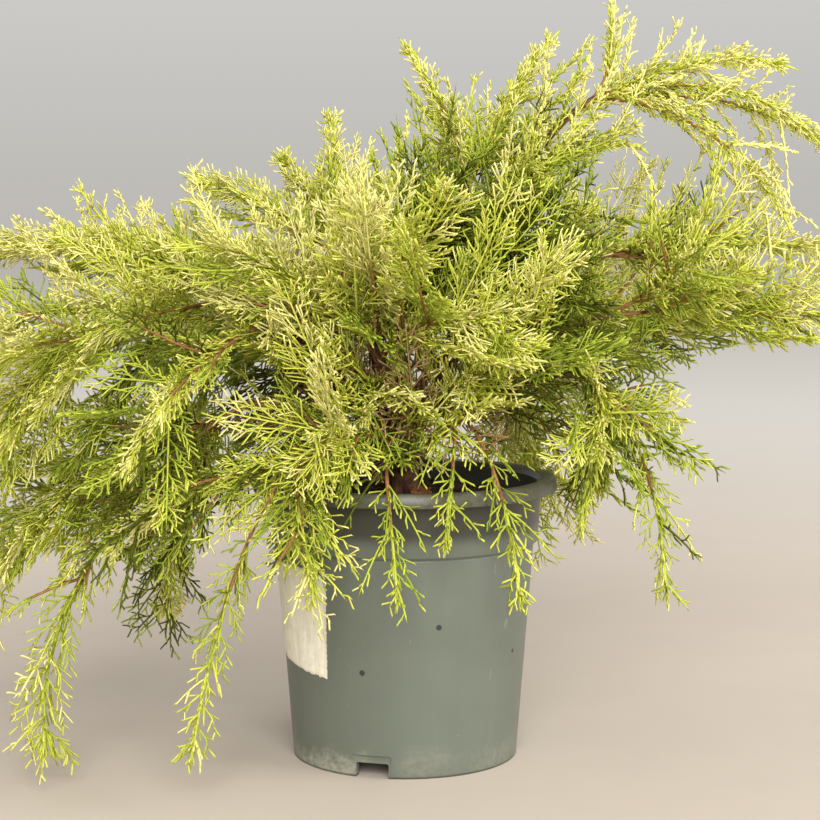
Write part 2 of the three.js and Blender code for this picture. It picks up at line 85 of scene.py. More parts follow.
MM = 0.001
NODES = sorted(frame["nodes"])
FOLIAGE_NODES = [name for name in NODES if name.startswith("foliage_")]
BOUGH_NODES = [name for name in NODES if name.startswith("bough_")]

# The pot and what it holds
POT_SIDES = 144
SHOULDER_RADIUS = 80.3
SHOULDER_STEP = 2.6
SHOULDER_GROOVE = {"low": 1.4, "middle": 0.9, "deep": 0.5, "high": 1}
WALL_RINGS = (17, 50, 90)
BAND_TOP_RADIUS = 85.5
WALL = 2
RIM_SKIRT = 8.6
# The rim's section: distances in from its outer face, and down from its top.
RIM_SECTION = ((3.4, 2.6), (2, 4.5), (1.8, RIM_SKIRT), (0, RIM_SKIRT), (0.2, 3), (1.5, 0.5), (3.4, 0))
# Waves round the rim: how far, how many, and their start in radians.
RIM_WAVES = ((0.35, 2, 0.7), (0.22, 5, 0))
RIM_ROUGH = 0.25
RIM_PULL = 0.5
PAD_RADIUS = 28
PAD_SLOPE = 3
CHANNEL_HEIGHT = 9
FLOOR_THICK = 2
FOOT_WIDTH = 5
NOTCH = {"count": 3, "width": 20.5, "azimuth": 253.6, "round": 1.2}
NOTCH_RECESS = {"above": 5, "wider": 4, "deep": 0.9, "block": 10}
DRAIN = {"count": 6, "radius": 5, "ring": 47, "cutter": 8}
GAP = 0.3

# The medium and what lies on it
MEDIUM_TOP = 158
MEDIUM_MOUND = 3
MOUND_RISE = 1.6
MEDIUM_RINGS = 46
MEDIUM_SIDES = 132
MEDIUM_ROUGH = 1.5
CHIP_REACH = 76
CHIP_LIFT = 0.9
DRY_LEAF = {"length": 13, "width": 8, "thick": 0.35, "lean": 52, "x": 10, "y": -16.5, "up": 7.5}

# The label, and the waves of its torn edges: how far, how many, and the row of the noise that each reads
LABEL = {"from": 174, "to": 231.5, "slant": 2.1, "low": 67.5, "high": 125, "thick": 0.4, "tear": 9}
LOW_TEAR = ((1.1, 14, 3), (1.1, 45, 9), (0.7, 110, 19))
HIGH_TEAR = ((0.7, 17, 30),)
SIDE_TEAR = ((0.5, 34, 50), (0.35, 90, 70))
LABEL_LIFT = 0.12
COCKLE = 0.35

# Finish of the pot and its painted shade, by its own coordinates in metres: where each part of it begins and
# ends. The dark inside is painted shade, partly dirt, and the dark line at the foot is a painted contact
# shadow.
POT_FINISH_AND_SHADE = {
    "rim": (0.1635, 0.1655),
    # Painted shade, partly dirt: the height where it starts, and the radius within which it lies
    "inside": (0.14, 0.15),
    "wall": (0.0855, 0.0868),
    # Painted contact shadow along the foot
    "foot": (0.0005, 0.0019),
    "lime": (-0.022, -0.006),
    "corner": (0.054, 0.067),
}
LIME_WAVE = -0.05
LIMED_SIDE = (-0.77, -0.64, 0)
SPECK_SHIFT = (0.0244, -0.0043, 0.0186)

# The plant
TRUNK = {"x": 1, "y": 0, "lean_x": -15, "lean_y": 4, "height": 68, "base": 8.5, "tip": 5.5}
FLARE = {"radius": 4.5, "height": 11}
# Bark: the sides and the step of its grid, and the depth of its furrows as a share of the limb's radius.
TRUNK_BARK = {"sides": 60, "step": 1.1, "deep": 1.5 / TRUNK["base"]}
BOUGH_BARK = {"sides": 22, "step": 1.5, "deep": 0.2}
# Its strips make this much of a turn in each millimetre.
BARK_TWIST = 0.35 / 60
STRIP = {"width": 4.2, "length": 14, "fine_length": 5}
KNOT = {"apart": 20, "swell": 0.06}
COLLAR = {"swell": 0.45, "length": 4}
FORK_ANGLE = 48
STEM_RADIUS = 1.25
STEM_TIP_RADIUS = 0.75
GOLDEN_ANGLE = 137.508
FLOOR_CLEAR = 5
LIMB_CLEAR = 0.6
BARE_STEM = 14
# Sprays: their angle from the stem, how far it, their turn and tilt vary, and where the last one starts.
SPRAY_ANGLE = 50
SPRAY_FAN = 26
SPRAY_TURN = 40
SPRAY_TILT = 45
LAST_SPRAY = 0.96
# Ribs, twigs and shoots bend this share of the way along.
KNEE = 0.55
OUTWARD_PULL = 0.3
CROWN_MIDDLE = np.array((0.0, 0.0, 190.0))
# The crown's upper edge seen from the front: places from left to right, and the height at each.
CROWN_EDGE_X = (-320, -240, -75, -35, 0, 80, 125, 230, 320)
CROWN_EDGE_Z = (350, 362, 388, 402, 448, 452, 477, 438, 380)
EDGE_SLACK = 12

# Boughs: name, parent, place along it, then the tip's compass angle, reach, height and nod above level,
# then the radius at the root and at the tip.
BOUGHS = (
    ("top", "trunk", 1, 10, 36, 350, 66, 4.6, 2.6),
    ("crest", "top", 0.42, 4, 118, 408, 26, 3, 2.1),
    ("mid_top", "trunk", 0.84, 160, 42, 308, 58, 3.3, 2.2),
    ("left_high", "trunk", 0.72, 172, 84, 290, 24, 3.5, 2.3),
    ("left_mid", "trunk", 0.57, 198, 104, 286, 14, 3.8, 2.4),
    ("left_front", "left_mid", 0.45, 219, 112, 270, -2, 2.8, 2.1),
    ("left_low", "trunk", 0.42, 188, 98, 220, -6, 3.5, 2.3),
    ("front_left", "trunk", 0.34, 232, 96, 202, -14, 3.3, 2.2),
    ("front", "trunk", 0.27, 260, 64, 203, 12, 3, 2.1),
    ("centre_front", "trunk", 0.7, 250, 42, 250, 40, 3.1, 2.2),
    ("front_right", "trunk", 0.48, 300, 50, 224, 20, 3.1, 2.1),
    ("right_low", "trunk", 0.36, 344, 108, 240, 4, 3.6, 2.3),
    ("right_mid", "right_low", 0.45, 352, 128, 276, 14, 2.7, 2.1),
    ("right_high", "trunk", 0.76, 12, 118, 308, 20, 3.5, 2.2),
    ("back", "trunk", 0.66, 96, 84, 290, 24, 3.5, 2.3),
    ("back_left", "trunk", 0.5, 136, 88, 250, 6, 3.5, 2.3),
    ("back_right", "trunk", 0.57, 48, 88, 262, 10, 3.5, 2.3),
)
BOUGH_COLUMNS = ("name", "parent", "at", "azimuth", "reach", "height", "nod", "root", "tip")

# Masses: name, bough, then the tip's compass angle, reach, height and nod, then the length of the side
# sprays, their lift (below 0 they weep) and a tint.
MASSES = (
    ("left_top", "left_high", 179, 284, 306, -26, 88, 0.5, "gold"),
    ("left_top_back", "left_high", 153, 244, 318, -4, 86, 0.45, "lime"),
    ("left_arch", "left_mid", 199, 276, 176, -76, 96, -0.1, "bright"),
    ("left_front_arch", "left_front", 224, 216, 184, -74, 86, -0.1, "lime"),
    ("left_low", "left_low", 190, 256, 112, -66, 94, -0.2, "gold"),
    ("left_long", "left_low", 204, 222, 12, -118, 60, -0.5, "lime"),
    ("left_shade", "left_low", 172, 154, 72, -84, 60, -0.3, "dark"),
    ("front_left_long", "front_left", 227, 179, 20, -80, 38, -0.5, "gold"),
    ("front_left_weep", "front_left", 248, 138, 116, -84, 62, -0.4, "gold"),
    ("front_left_out", "front_left", 212, 206, 132, -66, 74, -0.2, "dark"),
    ("front_weep", "front", 268, 121, 109, -86, 42, -0.5, "fresh"),
    ("front_mid_weep", "front_right", 281, 121, 141, -84, 44, -0.5, "fresh"),
    ("front_right_weep", "front_right", 301, 129, 107, -86, 44, -0.5, "fresh"),
    ("centre_left", "centre_front", 220, 152, 322, 10, 96, 0.3, "bright"),
    ("centre_up", "centre_front", 262, 112, 332, 26, 98, 0.3, "bright"),
    ("centre_mid", "centre_front", 296, 124, 272, -26, 98, 0.1, "bright"),
    ("front_middle", "front", 243, 122, 206, -52, 100, -0.1, "bright"),
    ("centre_right", "front_right", 318, 112, 262, 10, 98, 0.1, "lime"),
    ("right_weep", "right_low", 343, 166, 98, -86, 52, -0.4, "lime"),
    ("right_shade", "right_low", 24, 138, 150, -86, 60, -0.3, "green"),
    ("right_front", "right_low", 320, 146, 192, -62, 72, -0.1, "lime"),
    ("right_low_out", "right_mid", 354, 276, 266, -26, 76, 0.3, "gold"),
    ("right_front_up", "right_mid", 336, 192, 318, 22, 82, 0.3, "lime"),
    ("right_out", "right_high", 3, 292, 302, -30, 76, 0.4, "gold"),
    ("right_up", "right_high", 12, 190, 332, 24, 80, 0.3, "gold"),
    ("crest_tuft", "crest", 4, 128, 474, 84, 52, 0.5, "gold"),
    ("crest_high", "crest", 6, 286, 356, -58, 66, 0.3, "gold"),
    ("crest_arch", "crest", 352, 236, 322, -70, 72, -0.3, "gold"),
    ("top_left", "top", 250, 12, 444, 50, 90, 0.4, "gold"),
    ("top_right", "top", 12, 100, 452, 44, 80, 0.4, "gold"),
    ("top_back", "top", 66, 94, 388, 22, 90, 0.1, "lime"),
    ("mid_top_left", "mid_top", 166, 146, 360, 6, 86, 0.5, "gold"),
    ("mid_top_up", "mid_top", 145, 58, 404, 70, 90, 0.3, "lime"),
    ("back_out", "back", 92, 222, 286, -34, 96, 0.2, "lime"),
    ("back_up", "back", 108, 156, 368, 40, 92, 0.3, "gold"),
    ("back_left_out", "back_left", 134, 246, 214, -52, 98, 0.1, "lime"),
    ("back_left_low", "back_left", 112, 178, 116, -78, 88, -0.3, "green"),
    ("back_right_out", "back_right", 40, 240, 250, -36, 96, 0.2, "gold"),
    ("back_right_low", "back_right", 62, 178, 122, -78, 88, -0.3, "gold"),
)
MASS_COLUMNS = ("name", "bough", "azimuth", "reach", "height", "nod", "spray", "lift", "tint")

# Side stems fill the crown between the masses. Each leaves a bough some way along it.
SIDE_STEMS = (
    ("crest_fall", "crest", 0.62, 356, 150, 372, -50, 62, -0.1, "gold"),
    ("crest_fork", "crest", 0.42, 352, 130, 396, -14, 62, 0.2, "gold"),
    ("crest_inner", "crest", 0.25, 326, 92, 366, 0, 70, 0.1, "lime"),
    ("top_front", "top", 0.5, 292, 72, 352, 0, 76, 0.2, "green"),
    ("top_inner", "top", 0.3, 330, 86, 318, -10, 72, 0.0, "green"),
    ("right_high_up", "right_high", 0.5, 352, 122, 342, 20, 72, 0.2, "lime"),
    ("right_high_front", "right_high", 0.4, 325, 122, 296, -10, 72, 0.0, "green"),
    ("centre_drop", "centre_front", 0.6, 256, 94, 212, -70, 62, -0.2, "gold"),
    ("centre_fan", "front", 0.5, 284, 86, 214, -40, 66, -0.1, "bright"),
    ("front_right_fan", "front_right", 0.5, 294, 100, 236, -44, 66, -0.1, "gold"),
    ("front_left_fan", "front_left", 0.6, 244, 116, 196, -50, 66, -0.1, "lime"),
    ("crest_top", "crest", 0.86, 2, 246, 424, -24, 44, 0.45, "gold", 8),
    ("crest_hang", "crest", 0.92, 2, 258, 378, -56, 50, -0.3, "gold", 6),
    ("mid_top_plumes", "mid_top", 0.7, 158, 92, 376, 30, 60, 0.4, "gold"),
    ("front_left_fringe", "front_left", 0.7, 240, 126, 140, -80, 66, -0.35, "gold"),
    ("left_reach", "left_mid", 0.8, 191, 262, 258, -46, 60, 0.0, "bright"),
    ("back_low_fill", "back", 0.42, 100, 104, 196, -60, 62, -0.2, "lime"),
    ("left_inner_fan", "left_mid", 0.35, 236, 96, 262, -14, 72, 0.1, "bright"),
)
# The last column, where a row has it, is the angle of the fork.
SIDE_COLUMNS = ("name", "bough", "at", "azimuth", "reach", "height", "nod", "spray", "lift", "tint", "fork")
# Habits of single stems: how far apart their sprays stand, how broad the sprays are and how they droop, each
# against the rest. A spray ends up to the fourth value below the crown's edge, by chance, so that the edge is
# one of plumes. The fifth, where a row has it, keeps all of a stem's sprays that much lower, under the arch.
PLAIN = (1.0, 1.0, 0.0, 42)
WEEPING_LOOSE = (2.4, 0.6, 0.0, 42)
LOOSE_COLUMNS = ("apart", "width", "droop", "drop", "under")
LOOSE = {
    "crest_top": (0.9, 0.55, 0.0, 10),
    "crest_high": (1.9, 0.45, 0.6, 16),
    "crest_arch": (2.3, 0.42, 0.6, 30),
    "crest_fall": (2.6, 0.5, 0.5, 42),
    "crest_fork": (2.0, 0.5, 0.2, 20),
    "crest_hang": (1.5, 0.5, 0.6, 42),
    "crest_tuft": (0.8, 0.62, 0.0, 12),
    "right_out": (1.2, 0.75, 0.1, 30, 60),
    "right_up": (1.2, 0.7, 0.0, 30, 70),
    "right_high_up": (1.0, 1.0, 0.0, 42, 60),
    "right_front_up": (1.0, 1.0, 0.0, 42, 60),
    "top_left": (1.0, 0.7, 0.0, 30),
    "top_right": (1.0, 0.7, 0.0, 30),
    "left_reach": (1.25, 0.6, 0.2, 42),
    "left_front_arch": (1.4, 0.75, 0.0, 42),
    "left_long": (1.9, 0.8, 0.0, 42),
    "front_left_fringe": (0.9, 0.8, 0.0, 42),
    "front_left_weep": (1.2, 0.8, 0.0, 42),
    "front_left_out": (1.2, 0.8, 0.0, 42),
}
# A bough's own sprays start this share of its length along it, and rise where it ends this high.
BOUGH_SPRAY = 70
BOUGH_BARE = 0.28
BOUGH_HIGH = 260
BOUGH_LIFT = {"high": 0.25, "low": -0.1}
# Boughs in the light, whose own sprays are paler than those of the others.
LIT_BOUGHS = (
    "left_high",
    "left_mid",
    "mid_top",
    "front_left",
    "front",
    "centre_front",
    "front_right",
    "right_low",
)
# Within this reach of a point inside the crown this share of the sprays is dry, and has this share of shoots.
DRY_MIDDLE = (0.0, 0.0, 235.0)
DRY_REACH = 88
DRY_SHARE = 0.38
DRY_SHOOTS = 0.45
# This share of the sprays on the inner part of a stem has a rib that is brown for most of its length.
WOODY_SHARE = 0.42
WOODY_BEFORE = 0.6
# Masses with this lift or less hang in loose strands.
WEEPING = -0.4
# Each rib of a spray is a row of this many points. Where it has no room it is cut to one of these shares.
RIB_POINTS = 7
RIB_CUTS = (1, 0.82, 0.66, 0.5, 0.36)
RIB_MIDDLE = 3
WOODY_POINTS = 5
# A stem is brown for this share of its length, where it rises and elsewhere, and leafy from this share on.
STEM_WOOD = {"rising": 0.35, "other": 0.55, "overlap": 0.06}
STEM_LEAFY = {"weeping": 0.3, "other": 0.12}
# Its own twigs are this broad against those of its sprays, and stand in planes at these turns.
STEM_WIDTH = 0.6
STEM_PLANES = (0, 70, -70)
WEEPING_PLANES = (0, 75)
# Sprays that rise near the crown's edge are slim plumes, with spurs all round their ribs.
PLUME = {"under": 42, "rise": 0.42, "width": 0.62, "slim": 0.72}
SPUR_HABIT = {"first": 3.0, "angle": 31, "jitter": 7, "roll": 60, "bend": 0.3}
TWIG_HABIT = {"first": 5.0, "angle": 40, "jitter": 5, "roll": 12, "bend": 0.3}
SHOOT_HABIT = {"first": 3.0, "angle": 34, "jitter": 6, "roll": 18, "bend": 0.25}
# Lengths of side growth: the least, the most, and the share of what is left of the row that it grows on.
TWIG_LENGTH = {"least": 8, "most": 34, "share": 0.46, "taper": 0.72, "at_root": 0.45, "full_by": 18}
SHOOT_LENGTH = {"least": 6.5, "most": 16, "share": 0.42}
SPUR_LENGTH = {"least": 9, "most": 18, "share": 0.22}
# Thickness of each kind of growth along it, against a shoot's.
RIB_WIDTHS = (1.5, 0.9)
WOODY_WIDTHS = (1.7, 1.15)
TWIG_WIDTHS = (1.1, 0.95, 0)
SHOOT_WIDTHS = (0.9, 1, 0)
# Twigs and shoots of weeping strands stand this much further apart.
WEEPING_APART = 1.45
# Side growth starts no nearer the end of a row than this share of its length.
LAST_SHOOT = 0.86

# Tints of the foliage, from the shade inside the crown to the palest tips
TINTS = ("shade", "green", "lime", "gold", "pale")
# The tint number of dry growth.
STRAW = -1
# How a mass's tint shifts its sprays towards the shade or the pale end.
TINT_LEAN = {"dark": -0.6, "green": -0.38, "fresh": -0.28, "lime": 0.0, "gold": 0.1, "bright": 0.19}
# The light that a spray has had, by how far out, along its stem and high up it is, and by chance. It sets the
# spray's tint, so the crown's light and shade are partly painted into the foliage's colour, partly the paler
# growth that sun brings.
LIGHT = {"out": 0.55, "along": 0.25, "height": 0.32, "less": 0.18, "chance": 0.24, "steps": 5.2}
# The crown's half sizes round a middle height, and the heights from which and over which light grows.
CROWN_HALF = {"wide": 230, "front": 150, "back": 190, "high": 200, "middle": 225}
LIGHT_HEIGHT = {"from": 60, "over": 380}
# Undersides have had less light, and plumes at the crown's edge more: darker tints as painted shade, paler
# ones as painted light.
UNDERSIDE = 0.3
EDGE_LIGHT = 0.25
# Openings and hollows of the crown: a middle, a reach, and how much paler or darker the sprays there are.
# These are pools of painted light and painted shade.
LIT_PLACES = (
    (30, -60, 222, 85, 0.34),
    (-95, -45, 285, 90, 0.3),
    (-165, -115, 210, 68, -0.4),
    (90, 120, 180, 80, 0.35),
    (77, -50, 292, 62, -0.42),
    (-235, -70, 215, 72, 0.3),
)
MOST_TRIANGLES = 190_000

# The stage: the camera in millimetres and degrees, and the lights in metres
CAMERA = {"x": 3.1, "y": -1258, "z": 333, "down": 5.34, "lens": 89.12, "sensor": 36}
LIGHT_TARGET = (0, 0, 0.24)
KEY_LIGHT = {"place": (0.4, -5.8, 3.0), "size": 4.3, "colour": (1.0, 0.985, 0.96)}
FILL_LIGHT = {"place": (4.4, -1.2, 2.2), "size": 4.0, "colour": (1.0, 0.98, 0.95)}
# Between these the floor turns to its far colour, in metres, and the surround from the horizon's.
FAR_FLOOR = (0.3, 2.6)
HORIZON_BAND = (-0.03, 0.16)

BARK_SEED = 11
STEM_SEED = 400
BOUGH_SEED = 800
UP = np.array((0.0, 0.0, 1.0))


def linear(code):
    """A colour given as six hexadecimal digits, as Blender's linear red, green, blue and alpha."""
    shares = (int(code[i : i + 2], 16) / 255 for i in (0, 2, 4))
    return (*(s / 12.92 if s <= 0.04045 else ((s + 0.055) / 1.055) ** 2.4 for s in shares), 1.0)


# Settings


class PotSettings(bpy.types.PropertyGroup):
    height: bpy.props.FloatProperty(
        name="Height", description="Height of the pot", default=0.175, min=0.05, unit="LENGTH"
    )
    rim_radius: bpy.props.FloatProperty(
        name="Rim radius", description="Outer radius of the rim", default=0.095, min=0.03, unit="LENGTH"
    )
    base_radius: bpy.props.FloatProperty(
        name="Base radius", description="Outer radius of the foot", default=0.07, min=0.02, unit="LENGTH"
    )
    shoulder_height: bpy.props.FloatProperty(
        name="Shoulder height", description="Where the upper band starts", default=0.1344, unit="LENGTH"
    )
    plastic: bpy.props.FloatVectorProperty(
        name="Plastic", description="Colour of the pot", subtype="COLOR", size=4, default=linear("646a5f")
    )
    stain: bpy.props.FloatVectorProperty(
        name="Stain", description="Lime and dust on it", subtype="COLOR", size=4, default=linear("b3b1a0")
    )
    medium: bpy.props.FloatVectorProperty(
        name="Medium", description="Colour of the medium", subtype="COLOR", size=4, default=linear("2b211a")
    )
    paper: bpy.props.FloatVectorProperty(
        name="Paper", description="Colour of the label", subtype="COLOR", size=4, default=linear("efe9d6")
    )


class PlantSettings(bpy.types.PropertyGroup):
    spray_spacing: bpy.props.FloatProperty(
        name="Spray spacing", description="Along a stem", default=0.0074, min=0.003, unit="LENGTH"
    )
    twig_spacing: bpy.props.FloatProperty(
        name="Twig spacing", description="Along a spray", default=0.0050, min=0.002, unit="LENGTH"
    )
    shoot_spacing: bpy.props.FloatProperty(
        name="Shoot spacing", description="Along a twig", default=0.0026, min=0.002, unit="LENGTH"
    )
    shoot_radius: bpy.props.FloatProperty(
        name="Shoot radius", description="Of a leafy shoot", default=0.00061, min=0.0003, unit="LENGTH"
    )
    shade: bpy.props.FloatVectorProperty(
        name="Shade", description="Inside the crown", subtype="COLOR", size=4, default=linear("5f6616")
    )
    green: bpy.props.FloatVectorProperty(
        name="Green", description="Older sprays", subtype="COLOR", size=4, default=linear("93a334")
    )
    lime: bpy.props.FloatVectorProperty(
        name="Lime", description="Middle sprays", subtype="COLOR", size=4, default=linear("b5c044")
    )
    gold: bpy.props.FloatVectorProperty(
        name="Gold", description="Outer sprays", subtype="COLOR", size=4, default=linear("cfd355")
    )
    pale: bpy.props.FloatVectorProperty(
        name="Pale", description="Youngest tips", subtype="COLOR", size=4, default=linear("ece68e")
    )
    straw: bpy.props.FloatVectorProperty(
        name="Straw", description="Dry twigs", subtype="COLOR", size=4, default=linear("a98a5c")
    )
    young_wood: bpy.props.FloatVectorProperty(
        name="Young wood", description="Thin stems", subtype="COLOR", size=4, default=linear("96683e")
    )
    bark: bpy.props.FloatVectorProperty(
        name="Bark", description="Trunk and boughs", subtype="COLOR", size=4, default=linear("7c5843")
    )


class StageSettings(bpy.types.PropertyGroup):
    floor_radius: bpy.props.FloatProperty(
        name="Floor radius", description="Size of the floor", default=30.0, min=1.0, unit="LENGTH"
    )
    far_floor: bpy.props.FloatVectorProperty(
        name="Far floor", description="Its colour far off", subtype="COLOR", size=4, default=linear("dcd8d2")
    )
    floor: bpy.props.FloatVectorProperty(
        name="Floor", description="Colour of the floor", subtype="COLOR", size=4, default=linear("c9bdb0")
    )
    horizon: bpy.props.FloatVectorProperty(
        name="Horizon", description="Colour low down", subtype="COLOR", size=4, default=linear("bcb9b4")
    )
    surround: bpy.props.FloatVectorProperty(
        name="Surround", description="Colour around", subtype="COLOR", size=4, default=linear("cfcecb")
    )
    key: bpy.props.FloatProperty(
        name="Key light", description="Power of the large soft light", default=470.0, min=0.0, unit="POWER"
    )
    fill: bpy.props.FloatProperty(
        name="Fill light", description="Power of the softer light", default=160.0, min=0.0, unit="POWER"
    )


# Materials


def new_group(name, inputs, outputs):
    """A shader node group with named sockets, and its two end nodes."""
    group = bpy.data.node_groups.new(name, "ShaderNodeTree")
    for label, kind, value in inputs:
        socket = group.interface.new_socket(label, in_out="INPUT", socket_type=kind)
        if value is not None:
            socket.default_value = value
    for label, kind in outputs:
        group.interface.new_socket(label, in_out="OUTPUT", socket_type=kind)
    return group, group.nodes.new("NodeGroupInput"), group.nodes.new("NodeGroupOutput")


def add_node(tree, kind, values=(), **links):
    """A node with its socket values set, and each named socket linked from another node's output."""
    node = tree.nodes.new(kind)
    for key, value in dict(values).items():
        if key in node.inputs:
            node.inputs[key].default_value = value
        else:
            setattr(node, key, value)
    for key, source in links.items():
        tree.links.new(source, node.inputs[key.replace("_", " ")])
    return node


def mix_colour(tree, share, low, high, blend="MIX"):
    """A colour between two, each given as a value or as another node's output."""
    node = tree.nodes.new("ShaderNodeMix")
    node.data_type = "RGBA"
    node.blend_type = blend
    for index, source in ((0, share), (6, low), (7, high)):
        if isinstance(source, bpy.types.NodeSocket):
            tree.links.new(source, node.inputs[index])
        else:
            node.inputs[index].default_value = source
    return node.outputs[2]


def in_range(tree, value, low, high, to_low=0.0, to_high=1.0):
    """A value's place between two limits, kept within the new ones."""
    node = tree.nodes.new("ShaderNodeMapRange")
    node.interpolation_type = "SMOOTHSTEP"
    tree.links.new(value, node.inputs["Value"])
    limits = ("From Min", low), ("From Max", high), ("To Min", to_low), ("To Max", to_high)
    for socket, limit in limits:
        node.inputs[socket].default_value = limit
    return node.outputs["Result"]


def arithmetic(tree, operation, first, second):
    """A sum, product or comparison of two values, each given or another node's output."""
    node = tree.nodes.new("ShaderNodeMath")
    node.operation = operation
    for index, source in enumerate((first, second)):
        if isinstance(source, bpy.types.NodeSocket):
            tree.links.new(source, node.inputs[index])
        else:
            node.inputs[index].default_value = source
    return node.outputs[0]


def times(tree, first, second):
    """The product of two values."""
    return arithmetic(tree, "MULTIPLY", first, second)


def mottle_group():
    """Uneven colour: two sizes of noise between a dark and a light shade."""
    if "Mottle" in bpy.data.node_groups:
        return bpy.data.node_groups["Mottle"]
    inputs = (
        ("Vector", "NodeSocketVector", None),
        ("Scale", "NodeSocketFloat", 40.0),
        ("Detail", "NodeSocketFloat", 4.0),
        ("Low", "NodeSocketColor", (0.2, 0.2, 0.2, 1)),
        ("High", "NodeSocketColor", (0.6, 0.6, 0.6, 1)),
    )
    outputs = (("Color", "NodeSocketColor"), ("Mask", "NodeSocketFloat"))
    group, source, target = new_group("Mottle", inputs, outputs)
    coarse = add_node(group, "ShaderNodeTexNoise", {"Roughness": 0.6})
    fine = add_node(group, "ShaderNodeTexNoise", {"Detail": 2.0})
    for node in (coarse, fine):
        group.links.new(source.outputs["Vector"], node.inputs["Vector"])
    group.links.new(source.outputs["Scale"], coarse.inputs["Scale"])
    group.links.new(source.outputs["Detail"], coarse.inputs["Detail"])
    group.links.new(times(group, source.outputs["Scale"], 5.3), fine.inputs["Scale"])
    fine_share = times(group, fine.outputs["Fac"], 0.4)
    both = arithmetic(group, "ADD", coarse.outputs["Fac"], fine_share)
    mask = in_range(group, both, 0.45, 0.95)
    colour = mix_colour(group, mask, source.outputs["Low"], source.outputs["High"])
    group.links.new(colour, target.inputs["Color"])
    group.links.new(mask, target.inputs["Mask"])
    return group


def specks_group():
    """Small scattered marks, such as dust, grit and scuffs."""
    if "Specks" in bpy.data.node_groups:
        return bpy.data.node_groups["Specks"]
    inputs = (
        ("Vector", "NodeSocketVector", None),
        ("Scale", "NodeSocketFloat", 90.0),
        ("Size", "NodeSocketFloat", 0.08),
    )
    group, source, target = new_group("Specks", inputs, (("Mask", "NodeSocketFloat"),))
    cells = add_node(group, "ShaderNodeTexVoronoi", {"feature": "F1"})
    group.links.new(source.outputs["Vector"], cells.inputs["Vector"])
    group.links.new(source.outputs["Scale"], cells.inputs["Scale"])
    near = arithmetic(group, "LESS_THAN", cells.outputs["Distance"], source.outputs["Size"])
    chosen = add_node(group, "ShaderNodeSeparateColor", Color=cells.outputs["Color"])
    rare = arithmetic(group, "GREATER_THAN", chosen.outputs["Red"], 0.72)
    group.links.new(times(group, near, rare), target.inputs["Mask"])
    return group


def place_group(tree, group, coordinates, values):
    """A node group placed in a material, with its own values."""
    node = tree.nodes.new("ShaderNodeGroup")
    node.node_tree = group
    for key, value in values.items():
        node.inputs[key].default_value = value
    tree.links.new(coordinates, node.inputs["Vector"])
    return node


def mottled(tree, coordinates, colour, scale, low, high):
    """A colour that goes unevenly between two of its shades."""
    values = {"Scale": scale, "Low": shaded(colour, low), "High": shaded(colour, high)}
    return place_group(tree, mottle_group(), coordinates, values)


def specks(tree, coordinates, scale, size):
    """The mask of scattered marks."""
    return place_group(tree, specks_group(), coordinates, {"Scale": scale, "Size": size}).outputs["Mask"]


def cloud(tree, coordinates, scale, detail=2.0, roughness=0.5):
    """The value of a smooth noise."""
    values = {"Scale": scale, "Detail": detail, "Roughness": roughness}
    return add_node(tree, "ShaderNodeTexNoise", values, Vector=coordinates).outputs["Fac"]


def on_points(tree, name):
    """The value that a piece's mesh holds on its points under a name."""
    return add_node(tree, "ShaderNodeAttribute", {"attribute_name": name}).outputs["Fac"]


def new_material(name, roughness, specular=0.4):
    """A material with one shader, its tree, the shader and the object's own coordinates."""
    material = bpy.data.materials.new(name)
    material.use_nodes = True
    tree = material.node_tree
    shader = tree.nodes["Principled BSDF"]
    shader.inputs["Roughness"].default_value = roughness
    shader.inputs["Specular IOR Level"].default_value = specular
    coordinates = tree.nodes.new("ShaderNodeTexCoord").outputs["Object"]
    return material, tree, shader, coordinates


def add_bump(tree, shader, height, distance, strength=1.0):
    """Fine relief that is too small to model, its depth in metres."""
    bump = add_node(tree, "ShaderNodeBump", {"Distance": distance, "Strength": strength}, Height=height)
    tree.links.new(bump.outputs["Normal"], shader.inputs["Normal"])


def stretched(tree, coordinates, scale):
    """Coordinates scaled along each axis: a small scale draws a pattern out."""
    return add_node(tree, "ShaderNodeMapping", {"Scale": scale}, Vector=coordinates).outputs["Vector"]


def from_origin(tree, coordinates):
    """How far a place is from the coordinates' origin."""
    node = add_node(tree, "ShaderNodeVectorMath", {"operation": "LENGTH"}, Vector=coordinates)
    return node.outputs["Value"]


def shaded(colour, factor):
    """The same colour, darker or lighter."""
    return (*(min(1.0, channel * factor) for channel in colour[:3]), 1.0)


